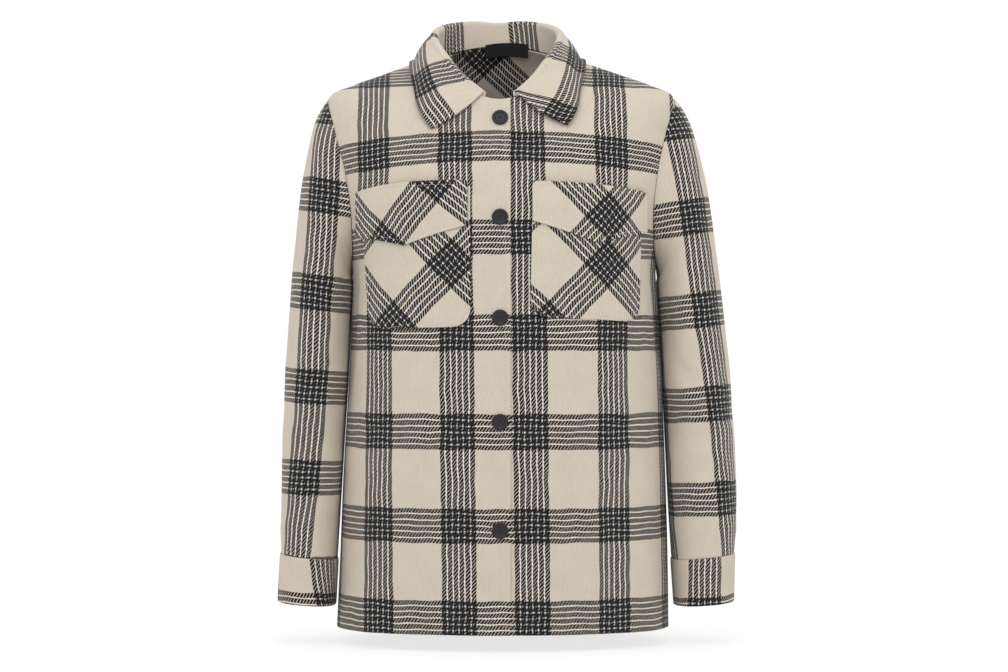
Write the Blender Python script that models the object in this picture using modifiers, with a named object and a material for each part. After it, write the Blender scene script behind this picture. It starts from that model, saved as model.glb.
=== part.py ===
"""Plaid wool shacket, about a women's size M, in the form it has when worn, with no wearer.

Metres, +Z up. The garment faces -Y and +X is the wearer's left. The origin is midway between the two
highest points of the shoulders beside the neck. Every piece of cloth is a thin wall: an outer skin worked
out from a table of sections, and an inner skin one thickness further in. Neighbouring pieces read the same
skin, so their edges run side by side with a small seam space between them.
"""
import math
from collections import namedtuple

import bmesh
import bpy
import numpy as np
from mathutils import Vector

# Cloth, in metres
CLOTH = 0.0018
TWO_PLY = 0.0026
SEAM = 0.0003
SEAM_LEVEL = 0.0002
SHARP_ANGLE = 40

# Body, worked out from sections: level 0 is the hem, 1 is the neck seam
Section = namedtuple("Section", "level z_front z_side z_back half_width front back power shift")
BODY = [
    Section(0.00, -0.680, -0.681, -0.679, 0.1985, 0.131, 0.127, 2.25, -0.0015),
    Section(0.12, -0.585, -0.588, -0.586, 0.1958, 0.131, 0.128, 2.25, 0.0000),
    Section(0.24, -0.492, -0.495, -0.493, 0.1925, 0.131, 0.128, 2.30, 0.0005),
    Section(0.36, -0.399, -0.402, -0.400, 0.1880, 0.131, 0.127, 2.35, 0.0015),
    Section(0.48, -0.307, -0.309, -0.308, 0.1835, 0.131, 0.127, 2.40, 0.0015),
    Section(0.55, -0.254, -0.252, -0.252, 0.1815, 0.130, 0.127, 2.40, 0.0000),
    Section(0.62, -0.206, -0.196, -0.197, 0.1900, 0.128, 0.127, 2.40, -0.0020),
    Section(0.69, -0.163, -0.140, -0.144, 0.2020, 0.124, 0.125, 2.35, -0.0030),
    Section(0.76, -0.129, -0.086, -0.092, 0.2090, 0.117, 0.119, 2.30, -0.0040),
    Section(0.80, -0.113, -0.051, -0.066, 0.2070, 0.111, 0.112, 2.25, -0.0030),
    Section(0.85, -0.098, -0.035, -0.047, 0.1780, 0.106, 0.103, 2.20, -0.0025),
    Section(0.90, -0.085, -0.0225, -0.027, 0.1430, 0.100, 0.092, 2.15, -0.0030),
    Section(0.95, -0.072, -0.0105, -0.004, 0.1090, 0.095, 0.081, 2.10, -0.0045),
    Section(1.00, -0.059, 0.000, 0.019, 0.0750, 0.090, 0.070, 2.00, -0.0054),
]
UNDERARM = 0.55
SHOULDER = 0.80
HEM_STEPS = 11
ARMHOLE_STEPS = 10
NECK_STEPS = 6
YOKE_STEP = 8
FRONT_COLUMNS = 11
BACK_COLUMNS = 22
ARMHOLE_FRONT = 0.063
ARMHOLE_BACK = 0.072
ARMHOLE_POWER = 2.1

# Levels between which a point of the front is searched for, and the number of halvings
SEARCH_LOW = 0.05
SEARCH_HIGH = 0.999
SEARCH_ROUNDS = 40

# Front closure: the right front lies over the left one
FRONT_EDGE = 0.0075
UNDER_EDGE = -0.022
UPPER_RISE = 0.0013
UNDER_RISE = -0.0011
RISE_FADE = 0.040

# Soft folds of the body: a trough is a negative depth; turns are degrees from the centre front
Fold = namedtuple("Fold", "turn_low turn_high low high width depth")
FOLDS = [
    Fold(-79, -74, 0.32, 0.60, 5.0, -0.0035),
    Fold(78, 74, 0.38, 0.60, 5.0, -0.0030),
    Fold(-50, -44, 0.00, 0.30, 9.0, 0.0025),
    Fold(-24, -28, 0.00, 0.22, 8.0, -0.0020),
    Fold(36, 40, 0.00, 0.26, 9.0, -0.0025),
    Fold(58, 52, 0.00, 0.32, 9.0, 0.0025),
    Fold(128, 122, 0.30, 0.66, 7.0, -0.0045),
    Fold(-130, -123, 0.26, 0.66, 7.0, -0.0045),
    Fold(148, 155, 0.00, 0.60, 9.0, 0.0040),
    Fold(-146, -152, 0.00, 0.62, 9.0, 0.0040),
    Fold(166, 172, 0.04, 0.44, 7.0, -0.0030),
    Fold(-168, -170, 0.08, 0.50, 8.0, -0.0030),
]

# Folds die away over this part of their length at each end
FOLD_END = 1 / 3

# Small step in level and turn that the outward direction is read with
FACING_STEP = 1e-3

# Sleeves: place 0 is the armhole and 1 the cuff seam; out is the arm's outer side, in the side at the body
Ring = namedtuple("Ring", "place z_out z_in out_right in_right out_left in_left y half_depth power")
SLEEVE = [
    Ring(0.00, -0.051, -0.252, 0.2124, 0.1815, 0.2040, 0.1815, 0.0045, 0.0675, 2.10),
    Ring(0.06, -0.060, -0.256, 0.2185, 0.1845, 0.2119, 0.1830, 0.0045, 0.0680, 2.10),
    Ring(0.12, -0.078, -0.261, 0.2260, 0.1860, 0.2220, 0.1836, 0.0050, 0.0690, 2.15),
    Ring(0.20, -0.112, -0.267, 0.2345, 0.1870, 0.2330, 0.1842, 0.0050, 0.0700, 2.20),
    Ring(0.28, -0.158, -0.275, 0.2430, 0.1878, 0.2435, 0.1845, 0.0050, 0.0710, 2.20),
    Ring(0.36, -0.206, -0.287, 0.2483, 0.1885, 0.2507, 0.1853, 0.0050, 0.0715, 2.25),
    Ring(0.44, -0.252, -0.304, 0.2530, 0.1890, 0.2565, 0.1863, 0.0040, 0.0710, 2.30),
    Ring(0.54, -0.312, -0.338, 0.2573, 0.1900, 0.2635, 0.1880, 0.0020, 0.0690, 2.30),
    Ring(0.64, -0.378, -0.388, 0.2615, 0.1912, 0.2700, 0.1904, -0.0010, 0.0660, 2.30),
    Ring(0.76, -0.452, -0.455, 0.2645, 0.1945, 0.2750, 0.1931, -0.0050, 0.0610, 2.30),
    Ring(0.88, -0.525, -0.530, 0.2657, 0.1985, 0.2777, 0.1962, -0.0090, 0.0560, 2.30),
    Ring(1.00, -0.593, -0.600, 0.2662, 0.2012, 0.2750, 0.2000, -0.0120, 0.0510, 2.30),
]
SLEEVE_PLACES = [0, 0.03, 0.06, 0.09, 0.12, 0.16, 0.20, 0.24, 0.28, 0.32, 0.38, 0.44, 0.51, 0.58, 0.65, 0.72,
                 0.79, 0.86, 0.93, 1.0]
CROWN_FADE = 0.20
ARMHOLE_SPACE = 0.0002
CREASE_START = 0.15
CREASE_END = 0.04
SMOOTH_FROM = 0.3
SMOOTH_OVER = 0.5

# Soft creases of the sleeves: place along the sleeve, turn round it from the outer side (front is negative)
Crease = namedtuple("Crease", "place turn slant length width depth")
CREASES = [
    Crease(0.62, -120, 0.10, 60, 0.020, -0.0030),
    Crease(0.69, -110, 0.08, 70, 0.022, 0.0022),
    Crease(0.75, -75, -0.06, 60, 0.020, -0.0022),
    Crease(0.60, 115, -0.08, 65, 0.022, -0.0028),
    Crease(0.70, 80, 0.08, 70, 0.024, 0.0022),
    Crease(0.30, -75, 0.16, 40, 0.030, -0.0025),
    Crease(0.32, 85, -0.14, 45, 0.030, -0.0025),
    Crease(0.93, -60, 0.04, 70, 0.020, 0.0015),
]

# Cuffs: a two-ply band under each sleeve
CUFF_SPACE = 0.0003
CUFF_PROUD = 0.0012
CUFF_RINGS = 4
CUFF_Z_OUT = -0.650
CUFF_Z_IN = -0.655
CUFF_OUT_RIGHT = 0.2702
CUFF_IN_RIGHT = 0.2018
CUFF_OUT_LEFT = 0.2745
CUFF_IN_LEFT = 0.2025
CUFF_Y = -0.0135
CUFF_HALF_DEPTH = 0.0515
CUFF_POWER = 2.3

# Collar: spread 0 at the centre back to 1 at a front end; x is measured from the middle of the neck
Station = namedtuple("Station", "spread roll_x roll_y roll_z edge_x edge_y edge_z")
COLLAR = [
    Station(0.00, 0.0000, 0.0765, 0.0445, 0.0000, 0.0925, -0.0020),
    Station(0.13, 0.0270, 0.0715, 0.0460, 0.0360, 0.0880, -0.0040),
    Station(0.25, 0.0510, 0.0550, 0.0425, 0.0680, 0.0730, -0.0080),
    Station(0.50, 0.0755, -0.0020, 0.0245, 0.1010, -0.0040, -0.0110),
    Station(0.72, 0.0630, -0.0560, -0.0050, 0.0975, -0.0700, -0.0470),
    Station(0.88, 0.0415, -0.0780, -0.0330, 0.0900, -0.0950, -0.0740),
    Station(1.00, 0.0185, -0.0895, -0.0525, 0.0795, -0.1045, -0.0900),
]
COLLAR_END_TURN = 13
COLLAR_STATIONS = 33
STAND_STEPS = 3
ROLL_STEPS = 3
LEAF_STEPS = 4
ROLL_RADIUS = 0.0038
ROLL_RADIUS_END = 0.0022
LEAF_BULGE = 0.0030
LEAF_SPACE = 0.0008
FRONT_SAG = 0.0055
SAG_FROM = 0.85
TIP_DROP_RIGHT = 0.0040
TIP_FROM = 0.6
ROLL_FROM = 0.8
COLLAR_SHIFT = -0.0024
COLLAR_SHIFT_FADE = 0.3
CLEAR_FROM = 0.6
CLEAR_LEVELS = 80
CLEAR_TURNS = 220

# Pockets and flaps; a centre is measured round the front from x = 0, tilt and bend lower the outer end
Pocket = namedtuple("Pocket", "side top depth tilt head_centre foot_centre head_width foot_width")
POCKETS = [
    Pocket("right", -0.1615, 0.164, 0.030, -0.1120, -0.1026, 0.146, 0.128),
    Pocket("left", -0.1595, 0.156, 0.040, 0.1040, 0.0995, 0.141, 0.139),
]
Flap = namedtuple("Flap", "side top tilt bend centre width side_length point")
FLAPS = [
    Flap("right", -0.1571, 0.071, 0.85, -0.1165, 0.149, 0.051, 0.073),
    Flap("left", -0.1595, 0.075, 0.50, 0.1070, 0.149, 0.0455, 0.0675),
]
POCKET_DROP = 0.003
POCKET_CORNER = 0.020
POCKET_COLUMNS = 10
POCKET_ROWS = 9
POCKET_SPACE = 0.0009
FLAP_COLUMNS = 10
FLAP_ROWS = 5
FLAP_SPACE = 0.0034
FLAP_CLOTH = 0.0020
POCKET_CLOTH = 0.0016
POCKET_LEVEL = 0.58
ROW_CROWDING = 1.5
RING_POINTS = 400

# Buttons down the front, with the height of each centre
BUTTON_LINE = -0.0045
BUTTON_HEIGHTS = [-0.082, -0.198, -0.314, -0.434, -0.559]
BUTTON_RADIUS = 0.0095
BUTTON_THICKNESS = 0.0032
BUTTON_RIM = 0.0020
BUTTON_DISH = 0.0010
BUTTON_SPACE = 0.0004
BUTTON_SEGMENTS = 18
BUTTON_SLOPE = 0.0012
BUTTON_TOP_EDGE = 0.0007
BUTTON_SIDE_EDGE = 0.0008
MERGE = 0.0001

# Label inside the back neck
LABEL_WIDTH = 0.056
LABEL_HEIGHT = 0.017
LABEL_TOP = 0.0240
LABEL_THICKNESS = 0.0008
LABEL_SPACE = 0.0005
LABEL_CENTRE = 0.0090
LABEL_COLUMNS = 8

# Colour, roughness and metallic value of each finish
Finish = namedtuple("Finish", "name colour roughness metallic")
WOOL = Finish("brushed_plaid_wool", (0.56, 0.51, 0.45, 1.0), 0.92, 0.0)
BLACK_RESIN = Finish("black_button", (0.012, 0.012, 0.013, 1.0), 0.35, 0.0)
BLACK_TAPE = Finish("black_label", (0.015, 0.015, 0.016, 1.0), 0.60, 0.0)


def clear_scene():
    """Remove whatever objects the scene holds."""
    for old in list(bpy.data.objects):
        bpy.data.objects.remove(old, do_unlink=True)


def along(rows, name, at):
    """Smooth curve through one column of a table, read at the places in at."""
    place = np.array([row[0] for row in rows], dtype=float)
    value = np.array([getattr(row, name) for row in rows], dtype=float)
    step = np.diff(place)
    rate = np.diff(value) / step
    slope = np.empty_like(value)
    slope[0] = rate[0]
    slope[-1] = rate[-1]
    slope[1:-1] = (rate[:-1] * step[1:] + rate[1:] * step[:-1]) / (step[:-1] + step[1:])
    at = np.clip(at, place[0], place[-1])
    k = np.clip(np.searchsorted(place, at, side="right") - 1, 0, len(step) - 1)
    u = (at - place[k]) / step[k]
    start = (1 + 2 * u) * (1 - u) ** 2 * value[k] + u * (1 - u) ** 2 * step[k] * slope[k]
    end = u * u * (3 - 2 * u) * value[k + 1] + u * u * (u - 1) * step[k] * slope[k + 1]
    return start + end


def ease(x):
    """Smooth step from 0 to 1."""
    x = np.clip(x, 0.0, 1.0)
    return x * x * (3 - 2 * x)


def signed_power(x, power):
    """Power of the size of x, with the sign of x."""
    return np.sign(x) * np.abs(x) ** power


def unit(vectors):
    """Each vector at length one."""
    return vectors / np.maximum(np.linalg.norm(vectors, axis=-1, keepdims=True), 1e-12)


def body_form(level, turn):
    """Point on the plain form of the body, before its folds; turn is 0 at the centre front, in radians."""
    level, turn = np.broadcast_arrays(np.asarray(level, float), np.asarray(turn, float))
    forward = np.cos(turn) > 0
    depth = np.where(forward, -along(BODY, "front", level), along(BODY, "back", level))
    z_middle = np.where(forward, along(BODY, "z_front", level), along(BODY, "z_back", level))
    z_side = along(BODY, "z_side", level)
    power = 2 / along(BODY, "power", level)
    x = along(BODY, "shift", level) + along(BODY, "half_width", level) * signed_power(np.sin(turn), power)
    y = depth * np.abs(np.cos(turn)) ** power
    z = z_side + (z_middle - z_side) * np.cos(turn) ** 2
    return np.stack([x, y, z], axis=-1)


def body_facing(level, turn):
    """Outward direction of the body's plain form."""
    low = np.maximum(np.asarray(level, float) - FACING_STEP, 0.0)
    high = np.minimum(np.asarray(level, float) + FACING_STEP, 1.0)
    up = body_form(high, turn) - body_form(low, turn)
    around = (body_form(level, np.asarray(turn) + FACING_STEP)
              - body_form(level, np.asarray(turn) - FACING_STEP))
    return unit(np.cross(around, up))


def fold_height(level, turn):
    """How far the folds move the cloth outwards."""
    level, turn = np.broadcast_arrays(np.asarray(level, float), np.asarray(turn, float))
    height = np.zeros(level.shape)
    degrees = np.degrees(turn)
    for fold in FOLDS:
        part = (level - fold.low) / (fold.high - fold.low)
        centre = fold.turn_low + (fold.turn_high - fold.turn_low) * np.clip(part, 0, 1)
        away = (degrees - centre + 180) % 360 - 180
        ends = ease(part / FOLD_END + (1.0 if fold.low == 0 else 0.0)) * ease((1 - part) / FOLD_END)
        height = height + fold.depth * ends * np.exp(-(away / fold.width) ** 2)
    return height


def body_skin(level, turn, rise=0.0):
    """Point on the outer skin of the body cloth, moved outwards by rise."""
    return body_form(level, turn) + body_facing(level, turn) * (fold_height(level, turn) + rise)[..., None]


def turn_at_x(level, x):
    """Turn of the front where the body's form has the width x."""
    across = (x - along(BODY, "shift", level)) / along(BODY, "half_width", level)
    across = np.clip(across, -1.0, 1.0)
    return np.arcsin(signed_power(across, along(BODY, "power", level) / 2))


def armhole_reach(level, reach):
    """How far the armhole's edge stands from the side line, in y, at a level."""
    z = along(BODY, "z_side", level)
    low = along(BODY, "z_side", np.array([UNDERARM]))[0]
    high = along(BODY, "z_side", np.array([SHOULDER]))[0]
    part = np.clip(np.abs(2 * (z - low) / (high - low) - 1), 0, 1)
    inside = (level > UNDERARM) & (level < SHOULDER)
    return np.where(inside, reach * (1 - part ** ARMHOLE_POWER) ** (1 / ARMHOLE_POWER), 0.0)


def side_turn(level, is_front):
    """Turn of a panel's outer edge: the side seam, the armhole or the shoulder seam."""
    depth = along(BODY, "front" if is_front else "back", level)
    reach = np.maximum(armhole_reach(level, ARMHOLE_FRONT if is_front else ARMHOLE_BACK), SEAM / 2)
    turn = np.arccos((reach / depth) ** (along(BODY, "power", level) / 2))
    return turn if is_front else math.pi - turn


def body_levels():
    """Levels of the rows that all body panels share."""
    hem = np.linspace(0.0, UNDERARM, HEM_STEPS + 1)
    sweep = (1 - np.cos(np.pi * np.arange(1, ARMHOLE_STEPS + 1) / ARMHOLE_STEPS)) / 2
    arm = UNDERARM + (SHOULDER - UNDERARM) * sweep
    neck = np.linspace(SHOULDER, 1.0, NECK_STEPS + 1)[1:]
    return np.concatenate([hem, arm, neck])


def front_rise(x, is_upper):
    """Step of a front near the closure, where one front lies over the other."""
    if is_upper:
        return UPPER_RISE * ease((x - UNDER_EDGE + RISE_FADE) / RISE_FADE)
    return UNDER_RISE * ease((FRONT_EDGE + RISE_FADE - x) / RISE_FADE)


def grid_object(name, outer, inner, finish, group, closed=False):
    """Solid wall between two grids of points, rows by columns; closed joins the last column to the first."""
    rows, columns = outer.shape[:2]
    mesh = bpy.data.meshes.new(name)
    build = bmesh.new()
    skins = []
    for grid in (outer, inner):
        skins.append([[build.verts.new(point) for point in row] for row in grid])
    span = columns if closed else columns - 1
    for i in range(rows - 1):
        for j in range(span):
            k = (j + 1) % columns
            for skin in skins:
                build.faces.new((skin[i][j], skin[i][k], skin[i + 1][k], skin[i + 1][j]))
    for i in (0, rows - 1):
        for j in range(span):
            k = (j + 1) % columns
            build.faces.new((skins[0][i][j], skins[0][i][k], skins[1][i][k], skins[1][i][j]))
    if not closed:
        for j in (0, columns - 1):
            for i in range(rows - 1):
                build.faces.new((skins[0][i][j], skins[0][i + 1][j], skins[1][i + 1][j], skins[1][i][j]))
    bmesh.ops.recalc_face_normals(build, faces=build.faces)
    build.to_mesh(mesh)
    build.free()
    mesh.shade_smooth()
    mesh.set_sharp_from_angle(angle=math.radians(SHARP_ANGLE))
    return add_object(name, mesh, finish, group)


def add_object(name, mesh, finish, group):
    """Object for a mesh, with a material of its own."""
    made = bpy.data.objects.new(name, mesh)
    group.objects.link(made)
    material = bpy.data.materials.new(name + "_" + finish.name)
    material.use_nodes = True
    shader = material.node_tree.nodes["Principled BSDF"]
    shader.inputs["Base Color"].default_value = finish.colour
    shader.inputs["Roughness"].default_value = finish.roughness
    shader.inputs["Metallic"].default_value = finish.metallic
    made.data.materials.clear()
    made.data.materials.append(material)
    return made


def make_front(side, group):
    """One front: hem to neck seam, closure edge to side seam, armhole and shoulder seam."""
    is_upper = side == "right"
    levels = body_levels()
    edge_x = FRONT_EDGE if is_upper else UNDER_EDGE
    start = turn_at_x(levels, edge_x)
    end = side_turn(levels, True) * (-1 if is_upper else 1)
    share = np.linspace(0, 1, FRONT_COLUMNS + 1)
    turn = start[:, None] + (end - start)[:, None] * share
    level = np.repeat(levels[:, None], share.size, axis=1)
    rise = front_rise(body_form(level, turn)[..., 0], is_upper)
    outer = body_skin(level, turn, rise)
    inner = outer - body_facing(level, turn) * CLOTH
    return grid_object("front_" + side, outer, inner, WOOL, group)


def back_grid(levels):
    """Levels and turns of a back panel between its two outer edges."""
    end = side_turn(levels, False)
    share = np.linspace(-1, 1, BACK_COLUMNS + 1)
    turn = math.pi + (math.pi - end)[:, None] * share
    level = np.repeat(levels[:, None], share.size, axis=1)
    return level, turn


def make_back(group):
    """The back below the yoke."""
    levels = body_levels()[:HEM_STEPS + YOKE_STEP + 1].copy()
    levels[-1] -= SEAM_LEVEL
    level, turn = back_grid(levels)
    outer = body_skin(level, turn)
    inner = outer - body_facing(level, turn) * CLOTH
    return grid_object("back", outer, inner, WOOL, group)


def make_yoke(group):
    """The back yoke, from its seam on the back up to the shoulder seams and the neck."""
    levels = body_levels()[HEM_STEPS + YOKE_STEP:].copy()
    levels[0] += SEAM_LEVEL
    level, turn = back_grid(levels)
    outer = body_skin(level, turn)
    inner = outer - body_facing(level, turn) * CLOTH
    return grid_object("yoke", outer, inner, WOOL, group)


def armhole_loop(sign):
    """Points of the armhole edge on the body's skin: shoulder, down the front, underarm, up the back."""
    levels = body_levels()[HEM_STEPS:HEM_STEPS + ARMHOLE_STEPS + 1]
    front = body_skin(levels, sign * side_turn(levels, True))
    back = body_skin(levels, sign * side_turn(levels, False))
    top = (front[-1] + back[-1]) / 2
    bottom = (front[0] + back[0]) / 2
    return np.concatenate([[top], front[-2:0:-1], [bottom], back[1:-1]])


def sleeve_rings(side, places):
    """Plain rings of a sleeve, each with its points from the outer side round by the front."""
    sign = -1 if side == "right" else 1
    count = 2 * ARMHOLE_STEPS
    around = 2 * np.pi * np.arange(count) / count
    places = np.asarray(places, float)
    out_point = np.stack([sign * along(SLEEVE, "out_" + side, places), along(SLEEVE, "y", places),
                          along(SLEEVE, "z_out", places)], axis=-1)
    in_point = np.stack([sign * along(SLEEVE, "in_" + side, places), along(SLEEVE, "y", places),
                         along(SLEEVE, "z_in", places)], axis=-1)
    half_depth = along(SLEEVE, "half_depth", places)
    return oval_rings(out_point, in_point, half_depth, along(SLEEVE, "power", places), around)


def oval_rings(out_point, in_point, half_depth, power, around):
    """Rounded rings between an outer and an inner point, half_depth deep to the front and the back."""
    centre = (out_point + in_point) / 2
    arm = (out_point - in_point) / 2
    exponent = 2 / power[:, None]
    lengthwise = signed_power(np.cos(around)[None, :], exponent)
    sideways = -signed_power(np.sin(around)[None, :], exponent)
    points = centre[:, None, :] + lengthwise[..., None] * arm[:, None, :]
    points[..., 1] += sideways * half_depth[:, None]
    return points


def crease_height(places, around):
    """How far the creases move the sleeve cloth outwards."""
    place = places[:, None]
    turn = -((np.degrees(around)[None, :] + 180) % 360 - 180)
    height = np.zeros((places.size, around.size))
    for crease in CREASES:
        away = (turn - crease.turn + 180) % 360 - 180
        line = crease.place + crease.slant * away / 100
        height += (crease.depth * np.exp(-((place - line) / crease.width) ** 2)
                   * np.exp(-(away / crease.length) ** 2))
    return height


def tube_facing(points):
    """Outward direction of a tube of rings."""
    around = np.roll(points, -1, axis=1) - np.roll(points, 1, axis=1)
    down = np.gradient(points, axis=0)
    facing = unit(np.cross(around, down))
    outward = points - points.mean(axis=1, keepdims=True)
    flip = np.sign(np.sum(facing[-1] * outward[-1]))
    return facing * flip


def sleeve_skin(side):
    """Outer points and outward directions of a sleeve."""
    sign = -1 if side == "right" else 1
    places = np.array(SLEEVE_PLACES, dtype=float)
    rings = sleeve_rings(side, places)
    loop = armhole_loop(sign)
    centre = loop.mean(axis=0)
    hole = unit((centre - loop) * np.array([0.0, 1.0, 1.0]))
    hole[0] = (sign, 0.0, 0.0)
    start = loop + ARMHOLE_SPACE * (hole + np.array([sign, 0.0, 0.0]))
    fade = ease(1 - places / CROWN_FADE)
    rings = rings + fade[:, None, None] * (start - rings[0])[None]
    around = 2 * np.pi * np.arange(rings.shape[1]) / rings.shape[1]
    facing = tube_facing(rings)
    height = crease_height(places, around) * ease(places / CREASE_START)[:, None]
    height = height * ease((1 - places) / CREASE_END)[:, None]
    inner_side = ease((-np.cos(around) - SMOOTH_FROM) / SMOOTH_OVER)[None, :]
    height = height * (1 - inner_side)
    return rings + facing * height[..., None], facing


def make_sleeve(side, group):
    """One set-in sleeve."""
    outer, facing = sleeve_skin(side)
    inner = outer - facing * CLOTH
    return grid_object("sleeve_" + side, outer, inner, WOOL, group, closed=True)


def cuff_skin(side):
    """Outer points and outward directions of a cuff."""
    sign = -1 if side == "right" else 1
    outer, facing = sleeve_skin(side)
    top = outer[-1] + facing[-1] * CUFF_PROUD
    top[:, 2] = outer[-1][:, 2] - CUFF_SPACE
    around = 2 * np.pi * np.arange(top.shape[0]) / top.shape[0]
    out_x = CUFF_OUT_RIGHT if side == "right" else CUFF_OUT_LEFT
    in_x = CUFF_IN_RIGHT if side == "right" else CUFF_IN_LEFT
    out_point = np.array([[sign * out_x, CUFF_Y, CUFF_Z_OUT]])
    in_point = np.array([[sign * in_x, CUFF_Y, CUFF_Z_IN]])
    bottom = oval_rings(out_point, in_point, np.array([CUFF_HALF_DEPTH]), np.array([CUFF_POWER]), around)[0]
    share = np.linspace(0, 1, CUFF_RINGS)[:, None, None]
    points = top[None] + (bottom - top)[None] * share
    return points, tube_facing(points)


def make_cuff(side, group):
    """One plain closed cuff."""
    outer, facing = cuff_skin(side)
    flat = facing.copy()
    flat[..., 2] = 0
    inner = outer - unit(flat) * TWO_PLY
    return grid_object("cuff_" + side, outer, inner, WOOL, group, closed=True)


def lift_clear(points, space):
    """Move points outwards until they stand clear of the body's skin by space."""
    level, turn = np.meshgrid(np.linspace(CLEAR_FROM, 1.0, CLEAR_LEVELS),
                              np.linspace(-math.pi, math.pi, CLEAR_TURNS), indexing="ij")
    skin = body_skin(level, turn, np.where(np.cos(turn) > 0, UPPER_RISE, 0.0)).reshape(-1, 3)
    facing = body_facing(level, turn).reshape(-1, 3)
    flat = points.reshape(-1, 3)
    distance = ((flat[:, None, :] - skin[None, :, :]) ** 2).sum(axis=-1)
    nearest = distance.argmin(axis=1)
    height = ((flat - skin[nearest]) * facing[nearest]).sum(axis=-1)
    push = np.maximum(space - height, 0.0)
    return (flat + facing[nearest] * push[:, None]).reshape(points.shape)


def collar_middle():
    """Points down the middle of the collar's wall: stations round the neck, each from the neck seam over the
    roll to the edge of the leaf."""
    spread = np.linspace(-1, 1, COLLAR_STATIONS)
    lean = COLLAR_SHIFT * ease((1 - np.abs(spread)) / COLLAR_SHIFT_FADE)
    middle_x = along(BODY, "shift", np.array([1.0]))[0] + lean
    turn = math.pi + spread * math.radians(180 - COLLAR_END_TURN)
    top = body_skin(np.ones_like(turn), -turn, np.full(turn.shape, UPPER_RISE))
    seam = body_skin(np.ones_like(turn), -turn, np.full(turn.shape, -CLOTH / 2))
    seam[:, 2] = top[:, 2] + SEAM
    mirrored = COLLAR[:0:-1]
    both = [row._replace(spread=-row.spread, roll_x=-row.roll_x, edge_x=-row.edge_x) for row in mirrored]
    both = both + COLLAR
    drop = TIP_DROP_RIGHT * ease((-spread - TIP_FROM) / (1 - TIP_FROM))
    roll = np.stack([middle_x + along(both, "roll_x", spread), along(both, "roll_y", spread),
                     along(both, "roll_z", spread)], axis=-1)
    edge = np.stack([middle_x + along(both, "edge_x", spread), along(both, "edge_y", spread),
                     along(both, "edge_z", spread) - drop], axis=-1)
    narrowing = ease((np.abs(spread) - ROLL_FROM) / (1 - ROLL_FROM))
    radius = (ROLL_RADIUS + (ROLL_RADIUS_END - ROLL_RADIUS) * narrowing)[:, None]
    out = unit((edge - roll) * np.array([1.0, 1.0, 0.0]))
    up = np.array([0.0, 0.0, 1.0])
    rows = []
    for i in range(STAND_STEPS):
        rows.append(seam + (roll - out * radius - seam) * (i / STAND_STEPS))
    for i in range(ROLL_STEPS + 1):
        angle = math.pi * (1 - i / ROLL_STEPS)
        rows.append(roll + out * radius * math.cos(angle) + up * radius * math.sin(angle))
    start = rows[-1]
    rise = unit(np.cross(np.gradient(edge, axis=0), edge - start))
    rise = rise * np.sign((rise * out).sum(axis=-1, keepdims=True))
    sag = (FRONT_SAG * ease((np.abs(spread) - SAG_FROM) / (1 - SAG_FROM)))[:, None] * up
    leaf = []
    for i in range(1, LEAF_STEPS + 1):
        share = i / LEAF_STEPS
        leaf.append(start + (edge - start) * share + (rise * LEAF_BULGE - sag) * math.sin(math.pi * share))
    leaf = lift_clear(np.array(leaf), TWO_PLY / 2 + LEAF_SPACE)
    return np.concatenate([np.array(rows), leaf])


def make_collar(group):
    """The collar, stand and leaf in one."""
    middle = collar_middle()
    around = np.gradient(middle, axis=1)
    down = np.gradient(middle, axis=0)
    facing = unit(np.cross(around, down))
    facing[0, :, 2] = 0
    facing = unit(facing)
    half = facing * (TWO_PLY / 2)
    return grid_object("collar", middle + half, middle - half, WOOL, group)


def find_front(x, z):
    """Level and turn of the front where it has the given x and z."""
    low = np.full(np.shape(x), SEARCH_LOW)
    high = np.full(np.shape(x), SEARCH_HIGH)
    for _ in range(SEARCH_ROUNDS):
        middle = (low + high) / 2
        above = body_form(middle, turn_at_x(middle, x))[..., 2] > z
        high = np.where(above, middle, high)
        low = np.where(above, low, middle)
    return middle, turn_at_x(middle, x)


def x_round_front(distance):
    """Width x at a distance round the front from x = 0, read on the section behind the pockets."""
    turn = np.linspace(-math.pi / 2, math.pi / 2, RING_POINTS)
    ring = body_form(np.full_like(turn, POCKET_LEVEL), turn)
    run = np.concatenate([[0.0], np.cumsum(np.linalg.norm(np.diff(ring[:, :2], axis=0), axis=1))])
    run = run - np.interp(0.0, ring[:, 0], run)
    return np.interp(distance, run, ring[:, 0])


def front_patch(name, side, distance, z, thickness, group):
    """Piece lying on a front: distance is measured round the front; thickness is its space and its cloth."""
    space, cloth = thickness
    x = x_round_front(distance)
    level, turn = find_front(x, z)
    rise = front_rise(x, side == "right")
    outer = body_skin(level, turn, rise + space + cloth)
    inner = body_skin(level, turn, rise + space)
    return grid_object(name, outer, inner, WOOL, group)


def make_pocket(pocket, group):
    """One patch pocket with rounded lower corners."""
    outwards = 1 if pocket.side == "left" else -1
    down = (POCKET_DROP + (pocket.depth - POCKET_DROP) * ease_rows(POCKET_ROWS))[:, None]
    part = down / pocket.depth
    half = (pocket.head_width + (pocket.foot_width - pocket.head_width) * part) / 2
    into = np.clip(down - (pocket.depth - POCKET_CORNER), 0, POCKET_CORNER)
    half = half - POCKET_CORNER + np.sqrt(POCKET_CORNER ** 2 - into ** 2)
    across = half * np.linspace(-1, 1, POCKET_COLUMNS + 1)
    centre = pocket.head_centre + (pocket.foot_centre - pocket.head_centre) * part
    z = pocket.top - down - pocket.tilt * outwards * across
    thickness = (POCKET_SPACE, POCKET_CLOTH)
    return front_patch("pocket_" + pocket.side, pocket.side, centre + across, z, thickness, group)


def ease_rows(count):
    """Row places from 0 to 1, closer together towards the end."""
    share = np.linspace(0, 1, count + 1)
    return 1 - (1 - share) ** ROW_CROWDING


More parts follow.
